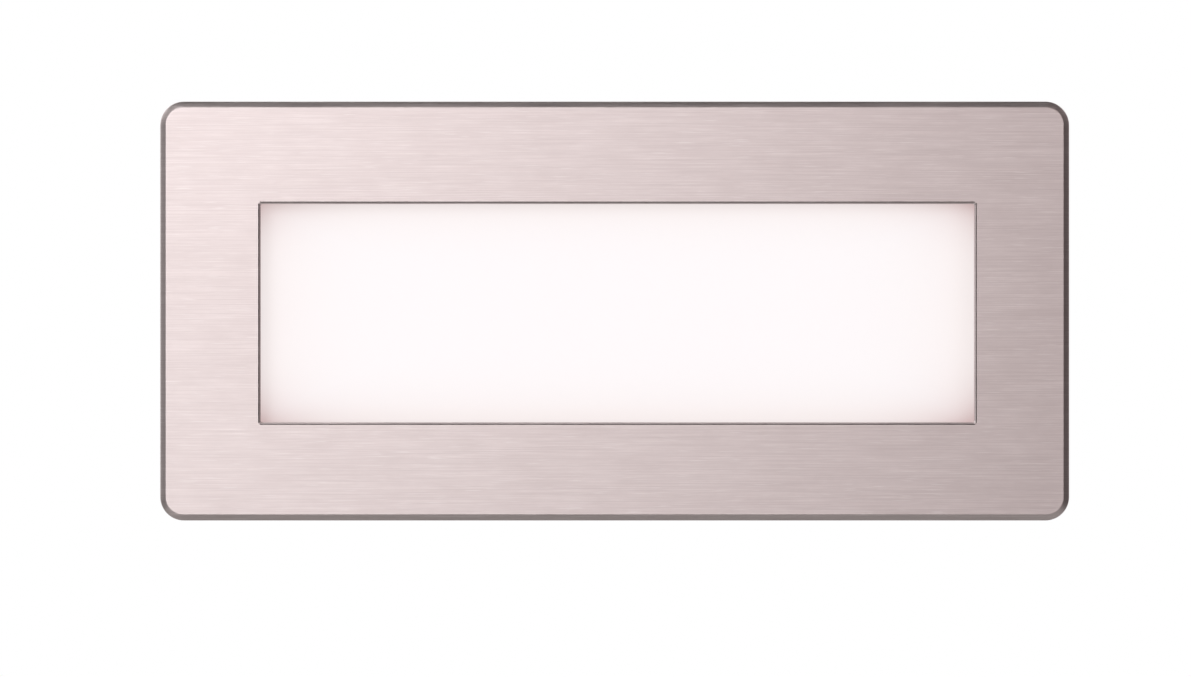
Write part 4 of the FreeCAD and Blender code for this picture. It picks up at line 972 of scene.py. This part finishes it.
def graded(direction, *stops, warmth=0.0):
    """A light that changes along one direction, from -1 to 1, through these stops of place and strength.

    With some warmth, the dim stops are redder than the bright ones. A new ramp has two stops already.
    """
    share = spread(world, direction, 0, 1, start=-1, end=1)
    ramp = add_node(world, "ShaderNodeValToRGB", {"Fac": share})
    for index, (place, strength) in enumerate(stops):
        stop = ramp.color_ramp.elements[index] if index < 2 else ramp.color_ramp.elements.new(1)
        stop.position = (place + 1) / 2
        cooler = strength * (1 - warmth * (1 - strength))
        stop.color = (strength, cooler, cooler, 1)
    return ramp.outputs["Color"]


def times(first, second):
    """The product of two colours."""
    return mix_paint(world, 1.0, first, second, how="MULTIPLY")


# %% [markdown]
# In front of the part there is a wide white screen, and behind the part the room is light again. Between
# them is a dark belt, which is why the folded edges look dark and the face looks light. The screen is
# brighter on the left than on the right. From the floor up it dims until it is level with the part, is
# bright above that, and ends in a dark ceiling.

# %% Draw the room that metal mirrors
belt = graded(
    way_parts["Y"], (-1, 0.7), (-0.94, 0.76), (-0.86, 1.0), (-0.72, 1.0), (-0.52, 0.34), (-0.3, 0.14),
    (0.3, 0.16), (0.7, 0.6), (1, 0.8),
)
sideways_light = graded(
    way_parts["X"], (-1, 0.9), (-0.3, 0.9), (-0.06, 0.98), (0.05, 0.64), (0.11, 0.2), (0.24, 0.09),
    (0.42, 0.5), (0.8, 0.3), (1, 0.3), warmth=0.2,
)
upward_light = graded(
    way_parts["Z"], (-1, 1.0), (-0.5, 0.52), (-0.06, 0.37), (0.06, 1.18), (0.35, 1.24), (0.6, 1.8),
    (0.7, 0.2), (1, 0.2),
)
reflected = times(times(belt, sideways_light), upward_light)
reflected_level = 2.26
brighter = add_node(
    world, "ShaderNodeVectorMath", {0: reflected, "Scale": reflected_level}, operation="SCALE"
)
print("the room is mirrored at", reflected_level, "times its strength")

# %% [markdown]
# Each kind of ray meets its own world: the camera and any ray that has gone through glass meet plain white,
# metal mirrors the room, and matt surfaces take an even grey, as the room is drawn for the metal only.

# %% Choose what each ray meets
matt_level = (0.62, 0.62, 0.63, 1)
rays = add_node(world, "ShaderNodeLightPath").outputs
for_matt = mix_paint(world, rays["Is Glossy Ray"], matt_level, brighter.outputs["Vector"])
through = work_out(world, "MAXIMUM", rays["Is Camera Ray"], rays["Is Transmission Ray"])
world_light = mix_paint(world, through, for_matt, (1, 1, 1, 1))
background = add_node(world, "ShaderNodeBackground", {"Color": world_light, "Strength": 1.0})
world_out = add_node(world, "ShaderNodeOutputWorld")
world.node_tree.links.new(background.outputs[0], world_out.inputs["Surface"])
print("made the world of", len(world.node_tree.nodes), "nodes")

# %% [markdown]
# Three soft lamps model the form: a large one from the front left, a weaker one from the right and one
# from above and behind, which keeps the back of the part readable in the other views. They light only what
# is matt, because in polished metal each would show as a hard white spot.


# %% Hang the lamps
def add_lamp(name, place, aim, width, power):
    """A square soft lamp at a place, pointed at another, that doesn't show in metal."""
    lamp_data = bpy.data.lights.new(name, "AREA")
    lamp_data.size = width
    lamp_data.energy = power
    lamp = bpy.data.objects.new(name, lamp_data)
    bpy.context.scene.collection.objects.link(lamp)
    lamp.location = place
    lamp.rotation_euler = (Vector(aim) - Vector(place)).to_track_quat("-Z", "Y").to_euler()
    lamp.visible_glossy = False


add_lamp("left_screen", (-0.75, -0.85, 0.45), aim=(0, 0, 0), width=0.7, power=5.0)
add_lamp("right_fill", (0.9, -0.7, 0.1), aim=(0, 0, 0), width=0.5, power=1.6)
add_lamp("back_top", (0.2, 0.8, 0.8), aim=(0, 0.03, 0), width=0.7, power=6.0)
print("hung 3 lamps")

# %% Show the colours as they are written
bpy.context.scene.view_settings.view_transform = "Standard"
